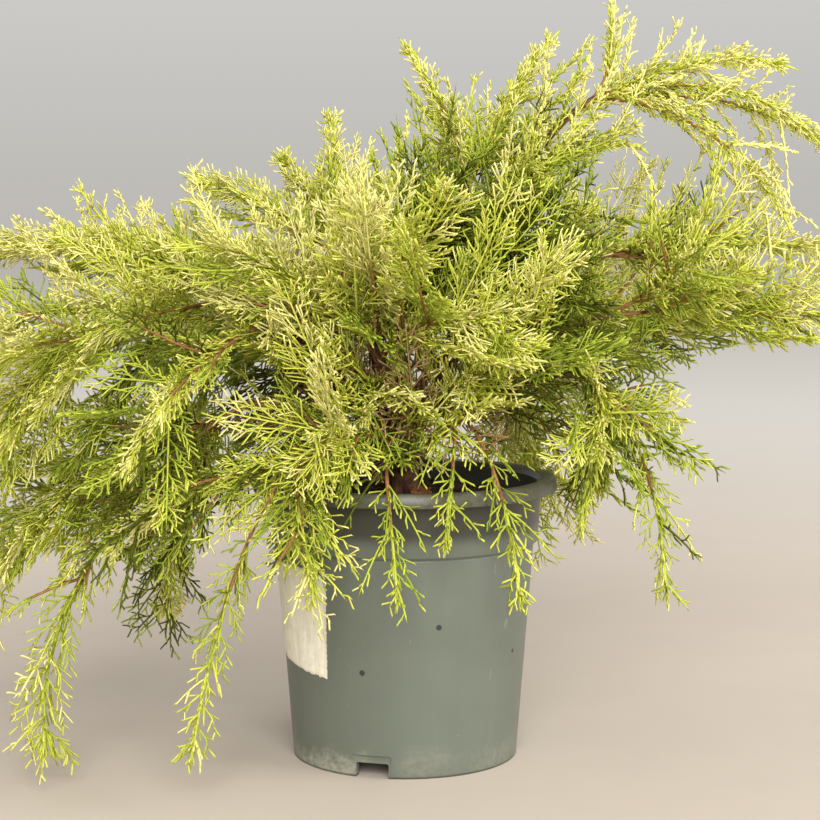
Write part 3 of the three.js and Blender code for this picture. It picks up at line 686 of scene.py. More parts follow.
def pot_material(settings):
    """Recycled grey-green plastic: even, faintly streaked, limed along the foot, soiled on the rim, with
    painted shade inside and under the rim and a painted shadow along the foot.
    """
    material, tree, shader, coordinates = new_material("pot_plastic", 0.42, 0.42)
    base, stain = tuple(settings.plastic), tuple(settings.stain)
    height = add_node(tree, "ShaderNodeSeparateXYZ", Vector=coordinates).outputs["Z"]
    blotches = cloud(tree, coordinates, 42, 9, 0.7)
    crust = cloud(tree, coordinates, 260, 4, 0.6)

    cloudy = mottled(tree, coordinates, base, 9, 0.94, 1.06).outputs["Color"]
    streaks = cloud(tree, stretched(tree, coordinates, (1, 1, 0.06)), 70, 3)
    streaked = mix_colour(tree, in_range(tree, streaks, 0.5, 0.75, 0, 0.16), cloudy, shaded(base, 1.3))

    # The lime's upper edge rises and falls round the pot, and one corner of the foot is limed most.
    uneven = arithmetic(tree, "ADD", height, times(tree, blotches, LIME_WAVE))
    low = in_range(tree, uneven, *POT_FINISH_AND_SHADE["lime"], 1, 0)
    leftwards = add_node(tree, "ShaderNodeVectorMath", {"operation": "DOT_PRODUCT"}, Vector=coordinates)
    leftwards.inputs[1].default_value = LIMED_SIDE
    corner = in_range(tree, leftwards.outputs["Value"], *POT_FINISH_AND_SHADE["corner"])
    spots = in_range(tree, cloud(tree, coordinates, 13), 0.47, 0.6, 0.06, 0.26)
    patchy = times(tree, low, arithmetic(tree, "MAXIMUM", spots, corner))
    limed = times(tree, patchy, in_range(tree, crust, 0.35, 0.6, 0.35, 1))
    dusty = times(tree, limed, 0.62)

    # The rim is soiled. The inside and the band under the rim are darkened as painted shade, partly dirt, and
    # a thin dark line along the foot is a painted contact shadow.
    on_rim = in_range(tree, height, *POT_FINISH_AND_SHADE["rim"])
    rim = times(tree, on_rim, in_range(tree, blotches, 0.4, 0.6, 0.5, 0.92))
    sooty = times(tree, on_rim, in_range(tree, crust, 0.5, 0.66, 0, 0.45))
    # Painted shade, partly dirt: above a height, everything within the band's top radius darkens, which is
    # the inner wall and the band under the rim.
    away = from_origin(tree, stretched(tree, coordinates, (1, 1, 0)))
    within = in_range(tree, away, *POT_FINISH_AND_SHADE["wall"], 0.85, 0)
    inside = times(tree, within, in_range(tree, height, *POT_FINISH_AND_SHADE["inside"]))
    # Painted contact shadow: a thin dark line along the bottom of the foot.
    foot = in_range(tree, height, *POT_FINISH_AND_SHADE["foot"], 0.75, 0)
    # The dark mask, and the soiled colour made from it, join the rim's soot with the painted shade inside and
    # the painted contact shadow at the foot.
    dark = arithmetic(tree, "MAXIMUM", foot, arithmetic(tree, "MAXIMUM", sooty, inside))
    worn = mix_colour(tree, rim, mix_colour(tree, dusty, streaked, stain), linear("575340"))
    soiled = mix_colour(tree, dark, worn, linear("34322a"))

    scuff_noise = cloud(tree, stretched(tree, coordinates, (1, 1, 0.25)), 160)
    scuffs = in_range(tree, scuff_noise, 0.72, 0.76, 0, 0.5)
    scuffed = mix_colour(tree, scuffs, soiled, shaded(base, 1.7))
    pale_specks = times(tree, specks(tree, coordinates, 120, 0.07), 0.35)
    speckled = mix_colour(tree, pale_specks, scuffed, shaded(base, 1.9))
    moved = add_node(tree, "ShaderNodeMapping", {"Location": SPECK_SHIFT}, Vector=coordinates)
    dark_specks = times(tree, specks(tree, moved.outputs["Vector"], 42, 0.075), 0.85)
    marked = mix_colour(tree, dark_specks, speckled, shaded(base, 0.1))
    tree.links.new(marked, shader.inputs["Base Color"])

    rough = in_range(tree, arithmetic(tree, "ADD", dusty, scuffs), 0, 0.7, 0.4, 0.75)
    tree.links.new(rough, shader.inputs["Roughness"])
    crusted = times(tree, times(tree, limed, crust), 3)
    relief = arithmetic(tree, "ADD", cloud(tree, coordinates, 420), crusted)
    add_bump(tree, shader, relief, 0.0002, 0.5)
    return material


def medium_material(settings):
    """Damp peat with fibres."""
    material, tree, shader, coordinates = new_material("medium_peat", 0.92, 0.2)
    base = tuple(settings.medium)
    crumbs = mottled(tree, coordinates, base, 150, 0.45, 1.9)
    grit = times(tree, specks(tree, coordinates, 170, 0.2), 0.5)
    colour = mix_colour(tree, grit, crumbs.outputs["Color"], shaded(base, 5))
    tree.links.new(colour, shader.inputs["Base Color"])
    add_bump(tree, shader, crumbs.outputs["Mask"], 0.0012)
    return material


def chip_material(name, colour):
    """Weathered bark chips, grained along their length."""
    material, tree, shader, coordinates = new_material(name, 0.85, 0.25)
    grain = mottled(tree, stretched(tree, coordinates, (1, 0.3, 1)), colour, 260, 0.5, 1.5)
    tree.links.new(grain.outputs["Color"], shader.inputs["Base Color"])
    add_bump(tree, shader, grain.outputs["Mask"], 0.0004)
    return material


def paper_material(settings):
    """Matt paper, cockled by damp, with faint fibres, weathered edges and painted shade along its cockles."""
    material, tree, shader, coordinates = new_material("label_paper", 0.78, 0.25)
    base = tuple(settings.paper)
    fibres = mottled(tree, coordinates, base, 110, 0.88, 1.04)
    cockles = cloud(tree, stretched(tree, coordinates, (1, 1, 0.12)), 95, 3)
    # Painted shade: the paper darkens along the same stripes of noise that give its cockled relief.
    painted_crease_shade = in_range(tree, cockles, 0.52, 0.72, 0, 0.4)
    crease_shaded = mix_colour(tree, painted_crease_shade, fibres.outputs["Color"], shaded(base, 0.8))
    soiled = times(tree, in_range(tree, on_points(tree, "edge"), 0.5, 1.0, 0, 0.5), fibres.outputs["Mask"])
    tree.links.new(mix_colour(tree, soiled, crease_shaded, linear("9c9479")), shader.inputs["Base Color"])
    add_bump(tree, shader, cockles, 0.0011)
    return material


def bark_material(settings):
    """Thin bark that peels in strips: grey-tan on the ridges, red-brown in the furrows."""
    material, tree, shader, coordinates = new_material("bark", 0.85, 0.25)
    base = tuple(settings.bark)
    ridge = on_points(tree, "ridge")
    flaked = mottled(tree, coordinates, base, 330, 0.7, 1.5)
    furrowed = mix_colour(tree, in_range(tree, ridge, 0.1, 0.6), linear("3a2119"), flaked.outputs["Color"])
    weathered = mix_colour(tree, in_range(tree, ridge, 0.62, 1.0, 0, 0.65), furrowed, linear("a08672"))
    tree.links.new(weathered, shader.inputs["Base Color"])
    add_bump(tree, shader, flaked.outputs["Mask"], 0.0004)
    return material


def young_wood_material(settings):
    """Smooth red-brown skin of thin stems, paler where it dries."""
    material, tree, shader, coordinates = new_material("young_wood", 0.62, 0.3)
    base = tuple(settings.young_wood)
    skin = mottled(tree, coordinates, base, 120, 0.6, 1.35)
    tree.links.new(skin.outputs["Color"], shader.inputs["Base Color"])
    add_bump(tree, shader, skin.outputs["Mask"], 0.0003)
    return material


def foliage_material(name, colour):
    """Scale leaves pressed to the shoot: one tint, a little paler to the tip, with fine scaly relief."""
    material, tree, shader, coordinates = new_material("foliage_" + name, 0.6, 0.18)
    base = tuple(colour)
    scales = mottled(tree, coordinates, base, 75, 0.84, 1.1)
    near_tip = in_range(tree, on_points(tree, "along"), 0.2, 1.0, 0, 0.4)
    tipped = mix_colour(tree, near_tip, scales.outputs["Color"], shaded(base, 1.25))
    tree.links.new(tipped, shader.inputs["Base Color"])
    relief = add_node(tree, "ShaderNodeTexVoronoi", {"Scale": 900.0}, Vector=coordinates)
    add_bump(tree, shader, relief.outputs["Distance"], 0.0003, 0.6)
    return material


# Modelling helpers


def begin(piece_name):
    """Leaves edit mode, selects nothing, and clears the way for a new piece."""
    if bpy.context.mode != "OBJECT":
        bpy.ops.object.mode_set(mode="OBJECT")
    bpy.ops.object.select_all(action="DESELECT")
    if piece_name in bpy.data.objects:
        bpy.data.objects.remove(bpy.data.objects[piece_name])


def settle(piece):
    """Puts the piece's place, turn and scale in its mesh."""
    bpy.ops.object.select_all(action="DESELECT")
    piece.select_set(True)
    bpy.context.view_layer.objects.active = piece
    bpy.ops.object.transform_apply(location=True, rotation=True, scale=True)


def hand_over(piece, material, nodes):
    """Gives a finished piece its material and body, and hides the nodes that it stands for."""
    piece.data.materials.clear()
    piece.data.materials.append(material)
    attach(piece, "root")
    if nodes:
        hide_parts(*nodes)
    return piece


def turn_profile(name, profile, sides):
    """A closed turned shape: a disc is extruded ring by ring through radii and heights in millimetres."""
    begin(name)
    radius, height = profile[0]
    bpy.ops.mesh.primitive_circle_add(
        vertices=sides, radius=radius * MM, fill_type="NGON", location=(0, 0, height * MM)
    )
    piece = bpy.context.object
    piece.name = name
    piece.data.name = name
    settle(piece)
    bpy.ops.object.mode_set(mode="EDIT")
    bpy.ops.mesh.select_all(action="SELECT")
    for (r0, z0), (r1, z1) in zip(profile, profile[1:]):
        bpy.ops.mesh.extrude_region_move(TRANSFORM_OT_translate={"value": (0, 0, (z1 - z0) * MM)})
        bpy.ops.transform.resize(value=(r1 / r0, r1 / r0, 1), center_override=(0, 0, 0))
    bpy.ops.mesh.select_all(action="SELECT")
    bpy.ops.mesh.normals_make_consistent(inside=False)
    bpy.ops.mesh.select_all(action="DESELECT")
    bpy.ops.object.mode_set(mode="OBJECT")
    return piece


def round_rings(piece, offset, sharpness, segments=2):
    """Rounds the edges of a turned piece where its profile turns sharply."""
    bpy.context.view_layer.objects.active = piece
    bpy.ops.object.mode_set(mode="EDIT")
    bpy.ops.mesh.select_mode(type="EDGE")
    bpy.ops.mesh.select_all(action="DESELECT")
    bpy.ops.mesh.edges_select_sharp(sharpness=math.radians(sharpness))
    bpy.ops.mesh.bevel(offset=offset * MM, segments=segments, affect="EDGES")
    bpy.ops.mesh.select_all(action="DESELECT")
    bpy.ops.object.mode_set(mode="OBJECT")


def cut_away(piece, cutter):
    """Takes one shape out of another, and removes the cutter."""
    bpy.ops.object.select_all(action="DESELECT")
    bpy.context.view_layer.objects.active = piece
    piece.select_set(True)
    cut = piece.modifiers.new("cut", "BOOLEAN")
    cut.operation = "DIFFERENCE"
    cut.solver = "EXACT"
    cut.object = cutter
    bpy.ops.object.modifier_apply(modifier=cut.name)
    bpy.data.objects.remove(cutter)


def rounded_block(size, location, azimuth, rounding):
    """A block with rounded edges, in millimetres, turned to a compass angle."""
    bpy.ops.object.select_all(action="DESELECT")
    turn = (0, 0, math.radians(azimuth))
    bpy.ops.mesh.primitive_cube_add(size=1, location=[v * MM for v in location], rotation=turn)
    block = bpy.context.object
    block.scale = [v * MM for v in size]
    bpy.ops.object.transform_apply(location=True, rotation=True, scale=True)
    bpy.ops.object.mode_set(mode="EDIT")
    bpy.ops.mesh.select_all(action="SELECT")
    bpy.ops.mesh.bevel(offset=rounding * MM, segments=3, affect="EDGES")
    bpy.ops.object.mode_set(mode="OBJECT")
    return block


def piece_from_arrays(name, vertices, faces, smooth=True, **attributes):
    """A piece joined from arrays: vertices in millimetres, and faces grouped by their number of corners."""
    begin(name)
    mesh = bpy.data.meshes.new(name)
    mesh.vertices.add(len(vertices))
    mesh.vertices.foreach_set("co", np.ascontiguousarray(vertices * MM, np.float32).ravel())
    corners = np.concatenate([group.ravel() for group in faces]).astype(np.int32)
    counts = np.concatenate([np.full(len(group), group.shape[1]) for group in faces])
    mesh.loops.add(len(corners))
    mesh.loops.foreach_set("vertex_index", corners)
    mesh.polygons.add(len(counts))
    mesh.polygons.foreach_set("loop_start", np.concatenate(((0,), np.cumsum(counts)[:-1])).astype(np.int32))
    mesh.update(calc_edges=True)
    mesh.polygons.foreach_set("use_smooth", np.full(len(counts), smooth))
    for label, values in attributes.items():
        attribute = mesh.attributes.new(label, "FLOAT", "POINT")
        attribute.data.foreach_set("value", np.ascontiguousarray(values, np.float32).ravel())
    piece = bpy.data.objects.new(name, mesh)
    bpy.context.scene.collection.objects.link(piece)
    return piece


# The pot


def wall_radius(z, settings, above_shoulder):
    """Radius of the wall at a height in millimetres: straight to the shoulder, then on to the rim."""
    shoulder = settings.shoulder_height / MM
    if z < shoulder:
        low, high = settings.base_radius / MM, SHOULDER_RADIUS
        return low + (high - low) * z / shoulder
    share = (z - shoulder) / (settings.height / MM - shoulder)
    return above_shoulder + (BAND_TOP_RADIUS - above_shoulder) * share


def outer_radius(z, settings):
    """Radius of the wall's outer face, which steps out at the shoulder."""
    return wall_radius(z, settings, SHOULDER_RADIUS + SHOULDER_STEP)


def inner_radius(z, settings):
    """Radius of the wall's inner face, which has no step."""
    return wall_radius(z, settings, SHOULDER_RADIUS) - WALL


def pot_profile(settings):
    """The pot's section: pad, channel, foot, wall, shoulder, band, hollow rim, then down inside."""
    top = settings.height / MM
    rim = settings.rim_radius / MM
    foot = settings.base_radius / MM
    shoulder = settings.shoulder_height / MM
    groove_low = shoulder - SHOULDER_GROOVE["low"]
    groove_middle = shoulder - SHOULDER_GROOVE["middle"]
    groove_high = shoulder + SHOULDER_GROOVE["high"]
    under_rim = top - RIM_SKIRT + 6
    floor = CHANNEL_HEIGHT + FLOOR_THICK
    return [
        (PAD_RADIUS, 0),
        (PAD_RADIUS + PAD_SLOPE, CHANNEL_HEIGHT),
        (foot - FOOT_WIDTH - 1, CHANNEL_HEIGHT),
        (foot - FOOT_WIDTH, 0),
        (foot, 0),
        *((outer_radius(z, settings), z) for z in WALL_RINGS),
        (outer_radius(groove_low, settings), groove_low),
        (outer_radius(groove_middle, settings) - SHOULDER_GROOVE["deep"], groove_middle),
        (outer_radius(groove_high, settings), groove_high),
        (outer_radius(under_rim, settings), under_rim),
        *((rim - inwards, top - down) for inwards, down in RIM_SECTION),
        (BAND_TOP_RADIUS, top - 0.8),
        (inner_radius(top - 4, settings), top - 4),
        (inner_radius(shoulder, settings), shoulder),
        (inner_radius(CHANNEL_HEIGHT, settings), floor),
        (PAD_RADIUS, floor),
        (PAD_RADIUS - PAD_SLOPE, FLOOR_THICK),
    ]


def cut_notches(pot, settings):
    """Drainage notches in the foot, each with a shallow recess above it, and holes in the raised floor."""
    foot = settings.base_radius / MM
    for i in range(NOTCH["count"]):
        azimuth = NOTCH["azimuth"] + 360 / NOTCH["count"] * i
        middle = place(azimuth, foot - 2, 0)
        block = (3 * FOOT_WIDTH, NOTCH["width"], 2 * CHANNEL_HEIGHT)
        cut_away(pot, rounded_block(block, middle, azimuth, NOTCH["round"]))
        tall = CHANNEL_HEIGHT + NOTCH_RECESS["above"]
        thick = NOTCH_RECESS["block"]
        face = place(azimuth, foot + thick / 2 - NOTCH_RECESS["deep"], 0)
        recess = (thick, NOTCH["width"] + NOTCH_RECESS["wider"], 2 * tall)
        cut_away(pot, rounded_block(recess, face, azimuth, NOTCH["round"]))
    for i in range(DRAIN["count"]):
        middle = place(360 / DRAIN["count"] * i, DRAIN["ring"], CHANNEL_HEIGHT)
        bpy.ops.object.select_all(action="DESELECT")
        bpy.ops.mesh.primitive_cylinder_add(
            vertices=32,
            radius=DRAIN["radius"] * MM,
            depth=DRAIN["cutter"] * MM,
            location=[v * MM for v in middle],
        )
        cut_away(pot, bpy.context.object)


def warp_rim(pot, settings):
    """A thin rim is never quite true: it waves a little and is a trifle narrower than its mould."""
    low = (settings.height / MM - 2.5 * RIM_SKIRT) * MM
    for vertex in pot.data.vertices:
        x, y, z = vertex.co
        share = max(0.0, (z - low) / (settings.height - low))
        turn = math.atan2(y, x)
        wave = sum(far * math.sin(count * turn + start) for far, count, start in RIM_WAVES)
        fine = RIM_ROUGH * noise.noise(Vector((8 * math.cos(turn), 8 * math.sin(turn), z * 60)))
        scale = 1 + share * (wave + fine - RIM_PULL) * MM / settings.rim_radius
        vertex.co = (x * scale, y * scale, z)


def make_pot(settings):
    """The pot turned in one piece, with its notches and holes cut and its edges rounded."""
    pot = turn_profile("nursery_pot", pot_profile(settings), POT_SIDES)
    round_rings(pot, 0.45, 32)
    cut_notches(pot, settings)
    warp_rim(pot, settings)
    settle(pot)
    bpy.ops.object.shade_smooth_by_angle(angle=math.radians(28))
    return hand_over(pot, pot_material(settings), ["pot"])


# The medium


def mound(share):
    """Height of the peat's surface, before it is roughened, at a share of the way in from its edge."""
    return MEDIUM_TOP + MEDIUM_MOUND * min(1, MOUND_RISE * share)


def make_medium(settings):
    """Peat filled to just under the rim, uneven on top."""
    edge = inner_radius(MEDIUM_TOP, settings) - 2 * GAP
    shoulder = settings.shoulder_height / MM
    floor = CHANNEL_HEIGHT + FLOOR_THICK + GAP
    profile = [
        (PAD_RADIUS - PAD_SLOPE - 2 * GAP, FLOOR_THICK + GAP),
        (PAD_RADIUS - GAP, floor),
        (inner_radius(CHANNEL_HEIGHT, settings) - 2 * GAP, floor),
        (inner_radius(shoulder, settings) - 2 * GAP, shoulder),
        (edge, MEDIUM_TOP - 2),
    ]
    for i in range(MEDIUM_RINGS):
        share = i / MEDIUM_RINGS
        profile.append((edge * (1 - share) + 0.8 * share, mound(share)))
    medium = turn_profile("growing_medium_fill", profile, MEDIUM_SIDES)
    for vertex in medium.data.vertices:
        if vertex.co.z > (MEDIUM_TOP - 1) * MM:
            lumps = noise.fractal(vertex.co * 90, 0.7, 2.1, 5)
            crumbs = 0.6 * abs(noise.noise(vertex.co * 340))
            vertex.co.z += MEDIUM_ROUGH * MM * (lumps + crumbs)
    settle(medium)
    bpy.ops.object.shade_smooth_by_angle(angle=math.radians(60))
    return hand_over(medium, medium_material(settings), ["growing_medium"])


def turn_matrix(angle, first, second):
    """A turn by an angle from one axis towards another."""
    matrix = np.eye(3)
    matrix[first, first] = matrix[second, second] = math.cos(angle)
    matrix[first, second] = -math.sin(angle)
    matrix[second, first] = math.sin(angle)
    return matrix


def make_chips(name, count, smallest, largest, flatness, seed):
    """Small broken lumps scattered over the peat, joined in one mesh."""
    rng = np.random.default_rng(seed)
    begin(name)
    bpy.ops.mesh.primitive_ico_sphere_add(subdivisions=1, radius=1)
    lump = bpy.context.object
    corners = np.array([v.co for v in lump.data.vertices])
    triangles = np.array([p.vertices for p in lump.data.polygons])
    bpy.data.objects.remove(lump)
    vertices, faces = [], []
    for i in range(count):
        size = smallest + (largest - smallest) * rng.random() ** 2
        shape = corners * (1 + 0.35 * rng.standard_normal((len(corners), 1)))
        shape = shape * size * np.array((1, 0.45 + 0.4 * rng.random(), flatness))
        lean = turn_matrix(0.5 * rng.standard_normal(), 2, 0)
        spin = turn_matrix(2 * math.pi * rng.random(), 0, 1)
        away = CHIP_REACH * math.sqrt(rng.random())
        bearing = 2 * math.pi * rng.random()
        if away < TRUNK["base"] + FLARE["radius"] + largest:
            continue
        height = mound(1 - away / SHOULDER_RADIUS) + CHIP_LIFT + 0.4 * size * flatness
        middle = (away * math.cos(bearing), away * math.sin(bearing), height)
        faces.append(triangles + len(corners) * len(vertices))
        vertices.append(shape @ lean.T @ spin.T + middle)
    return piece_from_arrays(name, np.concatenate(vertices), [np.concatenate(faces)], smooth=False)


def make_dry_leaf():
    """A curled, dry leaf that leans on the trunk's foot."""
    begin("dry_leaf")
    bpy.ops.mesh.primitive_grid_add(x_subdivisions=16, y_subdivisions=8, size=1)
    leaf = bpy.context.object
    leaf.name = "dry_leaf"
    lean = math.radians(DRY_LEAF["lean"])
    for vertex in leaf.data.vertices:
        u, v = 2 * vertex.co.x, 2 * vertex.co.y
        wide = max(0.04, math.cos(u * math.pi / 2)) ** 0.7
        x, y = DRY_LEAF["length"] / 2 * u, DRY_LEAF["width"] / 2 * v * wide
        curl = 2.6 * abs(v * wide) ** 1.5 + 1.8 * u * u + 0.5 * math.sin(7 * u + 4 * v)
        back = y * math.cos(lean) - curl * math.sin(lean)
        up = y * math.sin(lean) + curl * math.cos(lean)
        point = (x + DRY_LEAF["x"], back + DRY_LEAF["y"], up + MEDIUM_TOP + DRY_LEAF["up"])
        vertex.co = Vector(point) * MM
    thick = leaf.modifiers.new("thick", "SOLIDIFY")
    thick.thickness = DRY_LEAF["thick"] * MM
    bpy.ops.object.modifier_apply(modifier=thick.name)
    bpy.ops.object.shade_smooth()
    settle(leaf)
    return hand_over(leaf, chip_material("dry_leaf", linear("9a6440")), [])


# The label


def torn(share, waves, upright=False):
    """How far a torn edge wanders, in millimetres, at a share of its length."""
    total = 0.0
    for far, often, row in waves:
        total += far * noise.noise(Vector((row, share * often, 0) if upright else (share * often, row, 0)))
    return total


def make_label(settings):
    """Paper stuck round the wall, bare, with torn edges and a little cockle."""
    begin("bare_paper_label")
    bpy.ops.mesh.primitive_grid_add(x_subdivisions=96, y_subdivisions=96, size=1)
    label = bpy.context.object
    label.name = "bare_paper_label"
    edges = label.data.attributes.new("edge", "FLOAT", "POINT")
    values = []
    for vertex in label.data.vertices:
        u, v = vertex.co.x + 0.5, vertex.co.y + 0.5
        low = LABEL["low"] - LABEL["tear"] * u + torn(u, LOW_TEAR)
        high = LABEL["high"] + torn(u, HIGH_TEAR)
        ragged = torn(v, SIDE_TEAR, upright=True)
        right = LABEL["to"] + LABEL["slant"] * v
        turn = LABEL["from"] + (right - LABEL["from"]) * u + ragged * (1 if u > 0.5 else -1)
        z = low + (high - low) * v
        cockle = max(0.0, noise.noise(Vector((u * 22, v * 2.5, 5)))) * COCKLE
        point = place(turn, outer_radius(z, settings) + LABEL_LIFT + cockle, z)
        vertex.co = Vector(point) * MM
        values.append(1 - min(1.0, 12 * min(u, 1 - u, v, 1 - v)))
    edges.data.foreach_set("value", values)
    thick = label.modifiers.new("thick", "SOLIDIFY")
    thick.thickness = LABEL["thick"] * MM
    thick.offset = 1.0
    bpy.ops.object.modifier_apply(modifier=thick.name)
    bpy.ops.object.shade_smooth_by_angle(angle=math.radians(40))
    settle(label)
    return hand_over(label, paper_material(settings), ["paper_label"])


# Growing the skeleton


def place(azimuth, reach, height):
    """A point by its compass angle, its distance from the pot's axis and its height."""
    turn = math.radians(azimuth)
    return np.array((reach * math.cos(turn), reach * math.sin(turn), height))


def unit(vectors):
    return vectors / np.maximum(np.linalg.norm(vectors, axis=-1, keepdims=True), 1e-9)


def dot(a, b):
    return np.sum(a * b, axis=-1, keepdims=True)


def turned(vectors, axes, angles):
    """Vectors turned round unit axes by angles in radians."""
    angles = np.asarray(angles)[..., None]
    kept = axes * dot(axes, vectors) * (1 - np.cos(angles))
    return vectors * np.cos(angles) + np.cross(axes, vectors) * np.sin(angles) + kept


def side_of(directions, turns):
    """Directions square to the given ones, turned round them by angles in degrees."""
    steep = np.abs(directions[..., 2:3]) > 0.9
    aside = np.where(steep, np.array((1.0, 0.0, 0.0)), UP)
    return turned(unit(np.cross(directions, aside)), directions, np.radians(turns))


def lean_from(axes, sides, angles):
    """Directions that lean from the axes towards sides square to them, by angles in degrees."""
    lean = np.radians(angles)[..., None]
    return sides * np.sin(lean) + axes * np.cos(lean)


def direction_to(start, end, pitch):
    """The compass direction from one point to another, pitched above level by an angle in degrees."""
    level = unit(np.array((end[0] - start[0], end[1] - start[1], 0.0)))
    return lean_from(level, UP, np.float64(pitch))


class Curve:
    """A Bezier curve, followed by shares of its length."""

    def __init__(self, *corners):
        t = np.linspace(0, 1, 160)[:, None]
        last = len(corners) - 1
        weights = [math.comb(last, i) * (1 - t) ** (last - i) * t**i for i in range(last + 1)]
        self.points = sum(weight * corner for weight, corner in zip(weights, corners))
        steps = np.linalg.norm(np.diff(self.points, axis=0), axis=1)
        self.walked = np.concatenate(((0.0,), np.cumsum(steps)))
        self.length = self.walked[-1]

    def at(self, share):
        away = np.asarray(share, float) * self.length
        return np.stack([np.interp(away, self.walked, self.points[:, k]) for k in range(3)], axis=-1)

    def along(self, share):
        share = np.asarray(share, float)
        step = 0.005
        return unit(self.at(np.minimum(share + step, 1)) - self.at(np.maximum(share - step, 0)))


def arch_to(root, leaving, tip, arriving):
    """A curve that leaves its root and arrives at its tip in given directions."""
    third = np.linalg.norm(tip - root) / 3
    return Curve(root, root + leaving * third, tip - arriving * third, tip)


class Limb:
    """The trunk or a bough: its curve, its radius at the root and the tip, and where it leaves its host."""

    def __init__(self, curve, root, tip, flare=0.0, host=None):
        self.curve, self.host = curve, host
        self.root, self.tip, self.flare = root, tip, flare

    def radius(self, share):
        spread = np.maximum(0, 1 - np.asarray(share) * self.curve.length / FLARE["height"]) ** 2
        return self.root + (self.tip - self.root) * np.asarray(share) + self.flare * spread


def grow_limbs():
    """The trunk and the boughs by name, as the solids have them."""
    foot = np.array((TRUNK["x"], TRUNK["y"], MEDIUM_TOP + MEDIUM_MOUND + GAP))
    top = foot + (TRUNK["lean_x"], TRUNK["lean_y"], TRUNK["height"])
    bend = foot + UP * TRUNK["height"] * 0.55
    limbs = {"trunk": Limb(Curve(foot, bend, top), TRUNK["base"], TRUNK["tip"], FLARE["radius"])}
    for row in BOUGHS:
        bough = dict(zip(BOUGH_COLUMNS, row))
        host = limbs[bough["parent"]]
        at = bough["at"]
        joint, along = host.curve.at(at), host.curve.along(at)
        end = place(bough["azimuth"], bough["reach"], bough["height"])
        leaving, start = along, joint + along * GAP
        if at < 1:
            away = end - joint
            out = unit(away - along * dot(away, along))
            leaving = lean_from(along, out, np.float64(FORK_ANGLE))
            half = bough["root"] * math.cos(math.radians(FORK_ANGLE))
            start = joint + out * (host.radius(at) + GAP + half)
        curve = arch_to(start, leaving, end, direction_to(start, end, bough["nod"]))
        limbs[bough["name"]] = Limb(curve, bough["root"], bough["tip"], host=joint)
    return limbs


class Stem:
    """The stem of a mass of foliage, its curve, and the point inside its bough where it is rooted."""

    def __init__(self, mass, curve, root):
        self.mass, self.curve, self.root = mass, curve, root


def grow_stems(limbs):
    """Stems in the order of the boughs. Round a bough's tip, each takes the side that its own tip lies on."""
    masses = [dict(zip(MASS_COLUMNS, row)) for row in MASSES]
    stems = []
    for host_name in (row[0] for row in BOUGHS):
        host = limbs[host_name].curve
        joint, along = host.at(1), host.along(1)
        basis = side_of(along, 0.0)
        other = np.cross(along, basis)
        carried = []
        for mass in (m for m in masses if m["bough"] == host_name):
            away = place(mass["azimuth"], mass["reach"], mass["height"]) - joint
            carried.append((math.atan2(away @ other, away @ basis), mass))
        carried.sort(key=lambda pair: pair[0])
        count = len(carried)
        offsets = [turn - 2 * math.pi * i / count for i, (turn, _) in enumerate(carried)]
        first = math.degrees(math.atan2(sum(map(math.sin, offsets)), sum(map(math.cos, offsets))))
        for i, (_, mass) in enumerate(carried):
            side = side_of(along, first + 360 / count * i)
            end = place(mass["azimuth"], mass["reach"], mass["height"])
            leaving = unit(along * 0.8 + unit(end - joint) * 0.6)
            tilt = math.sqrt(max(0.0, 1 - float(leaving @ along) ** 2))
            start = joint + along * (GAP + STEM_RADIUS * tilt)
            if count > 1:
                start = start + side * (STEM_RADIUS + GAP) / math.sin(math.pi / count)
            curve = arch_to(start, leaving, end, direction_to(start, end, mass["nod"]))
            stems.append(Stem(mass, curve, host.at(1 - 6 / host.length)))
    return stems


def grow_side_stems(limbs):
    """Stems that fork off the boughs."""
    stems = []
    for row in SIDE_STEMS:
        mass = dict(zip(SIDE_COLUMNS, row))
        host = limbs[mass["bough"]].curve
        joint, along = host.at(mass["at"]), host.along(mass["at"])
        end = place(mass["azimuth"], mass["reach"], mass["height"])
        away = end - joint
        out = unit(away - along * dot(away, along))
        leaving = lean_from(along, out, np.float64(mass.get("fork", FORK_ANGLE)))
        curve = arch_to(joint, leaving, end, direction_to(joint, end, mass["nod"]))
        stems.append(Stem(mass, curve, joint))
    return stems


# Tubes from arrays


def ring_quads(rings, sides):
    """Quads between rings of corners, and for one ring each corner and the next one round."""
    here = np.arange(sides)
    following = (here + 1) % sides
    base = np.arange(rings - 1)[:, None] * sides
    above = base + sides
    quads = np.stack((base + here, base + following, above + following, above + here), axis=-1)
    return quads.reshape(-1, 4), here, following


def spokes(first, second, sides):
    """Unit vectors round each place of a tube, from two that are square to it and to each other."""
    angles = np.arange(sides) * 2 * math.pi / sides
    return first[..., None, :] * np.cos(angles)[:, None] + second[..., None, :] * np.sin(angles)[:, None]


class Tubes:
    """Closed tubes round rows of points, each ending in a point, with each vertex's share of the length."""

    def __init__(self, points, radii, across, sides):
        rows, count, _ = points.shape
        rings = count - 1
        along = unit(np.gradient(points, axis=1))
        first = unit(across[:, None] - along * dot(across[:, None], along))
        second = np.cross(along, first)
        spoke = spokes(first[:, :rings], second[:, :rings], sides)
        ring = points[:, :rings, None] + spoke * radii[:, :rings, None, None]
        self.vertices = np.concatenate((ring.reshape(rows, -1, 3), points[:, -1:]), axis=1).reshape(-1, 3)
        self.shares = np.tile(np.append(np.repeat(np.arange(rings) / rings, sides), 1.0), rows)
        each = rings * sides + 1
        quads, here, following = ring_quads(rings, sides)
        last = (rings - 1) * sides
        tips = np.stack((last + here, last + following, np.full(sides, each - 1)), axis=-1)
        starts = (np.arange(rows) * each)[:, None, None]
        self.faces = {4: [(quads + starts).reshape(-1, 4)], 3: [(tips + starts).reshape(-1, 3)]}
        self.faces.setdefault(sides, []).append((here[::-1] + starts).reshape(-1, sides))
        self.triangles = rows * (2 * len(quads) + sides + sides - 2)


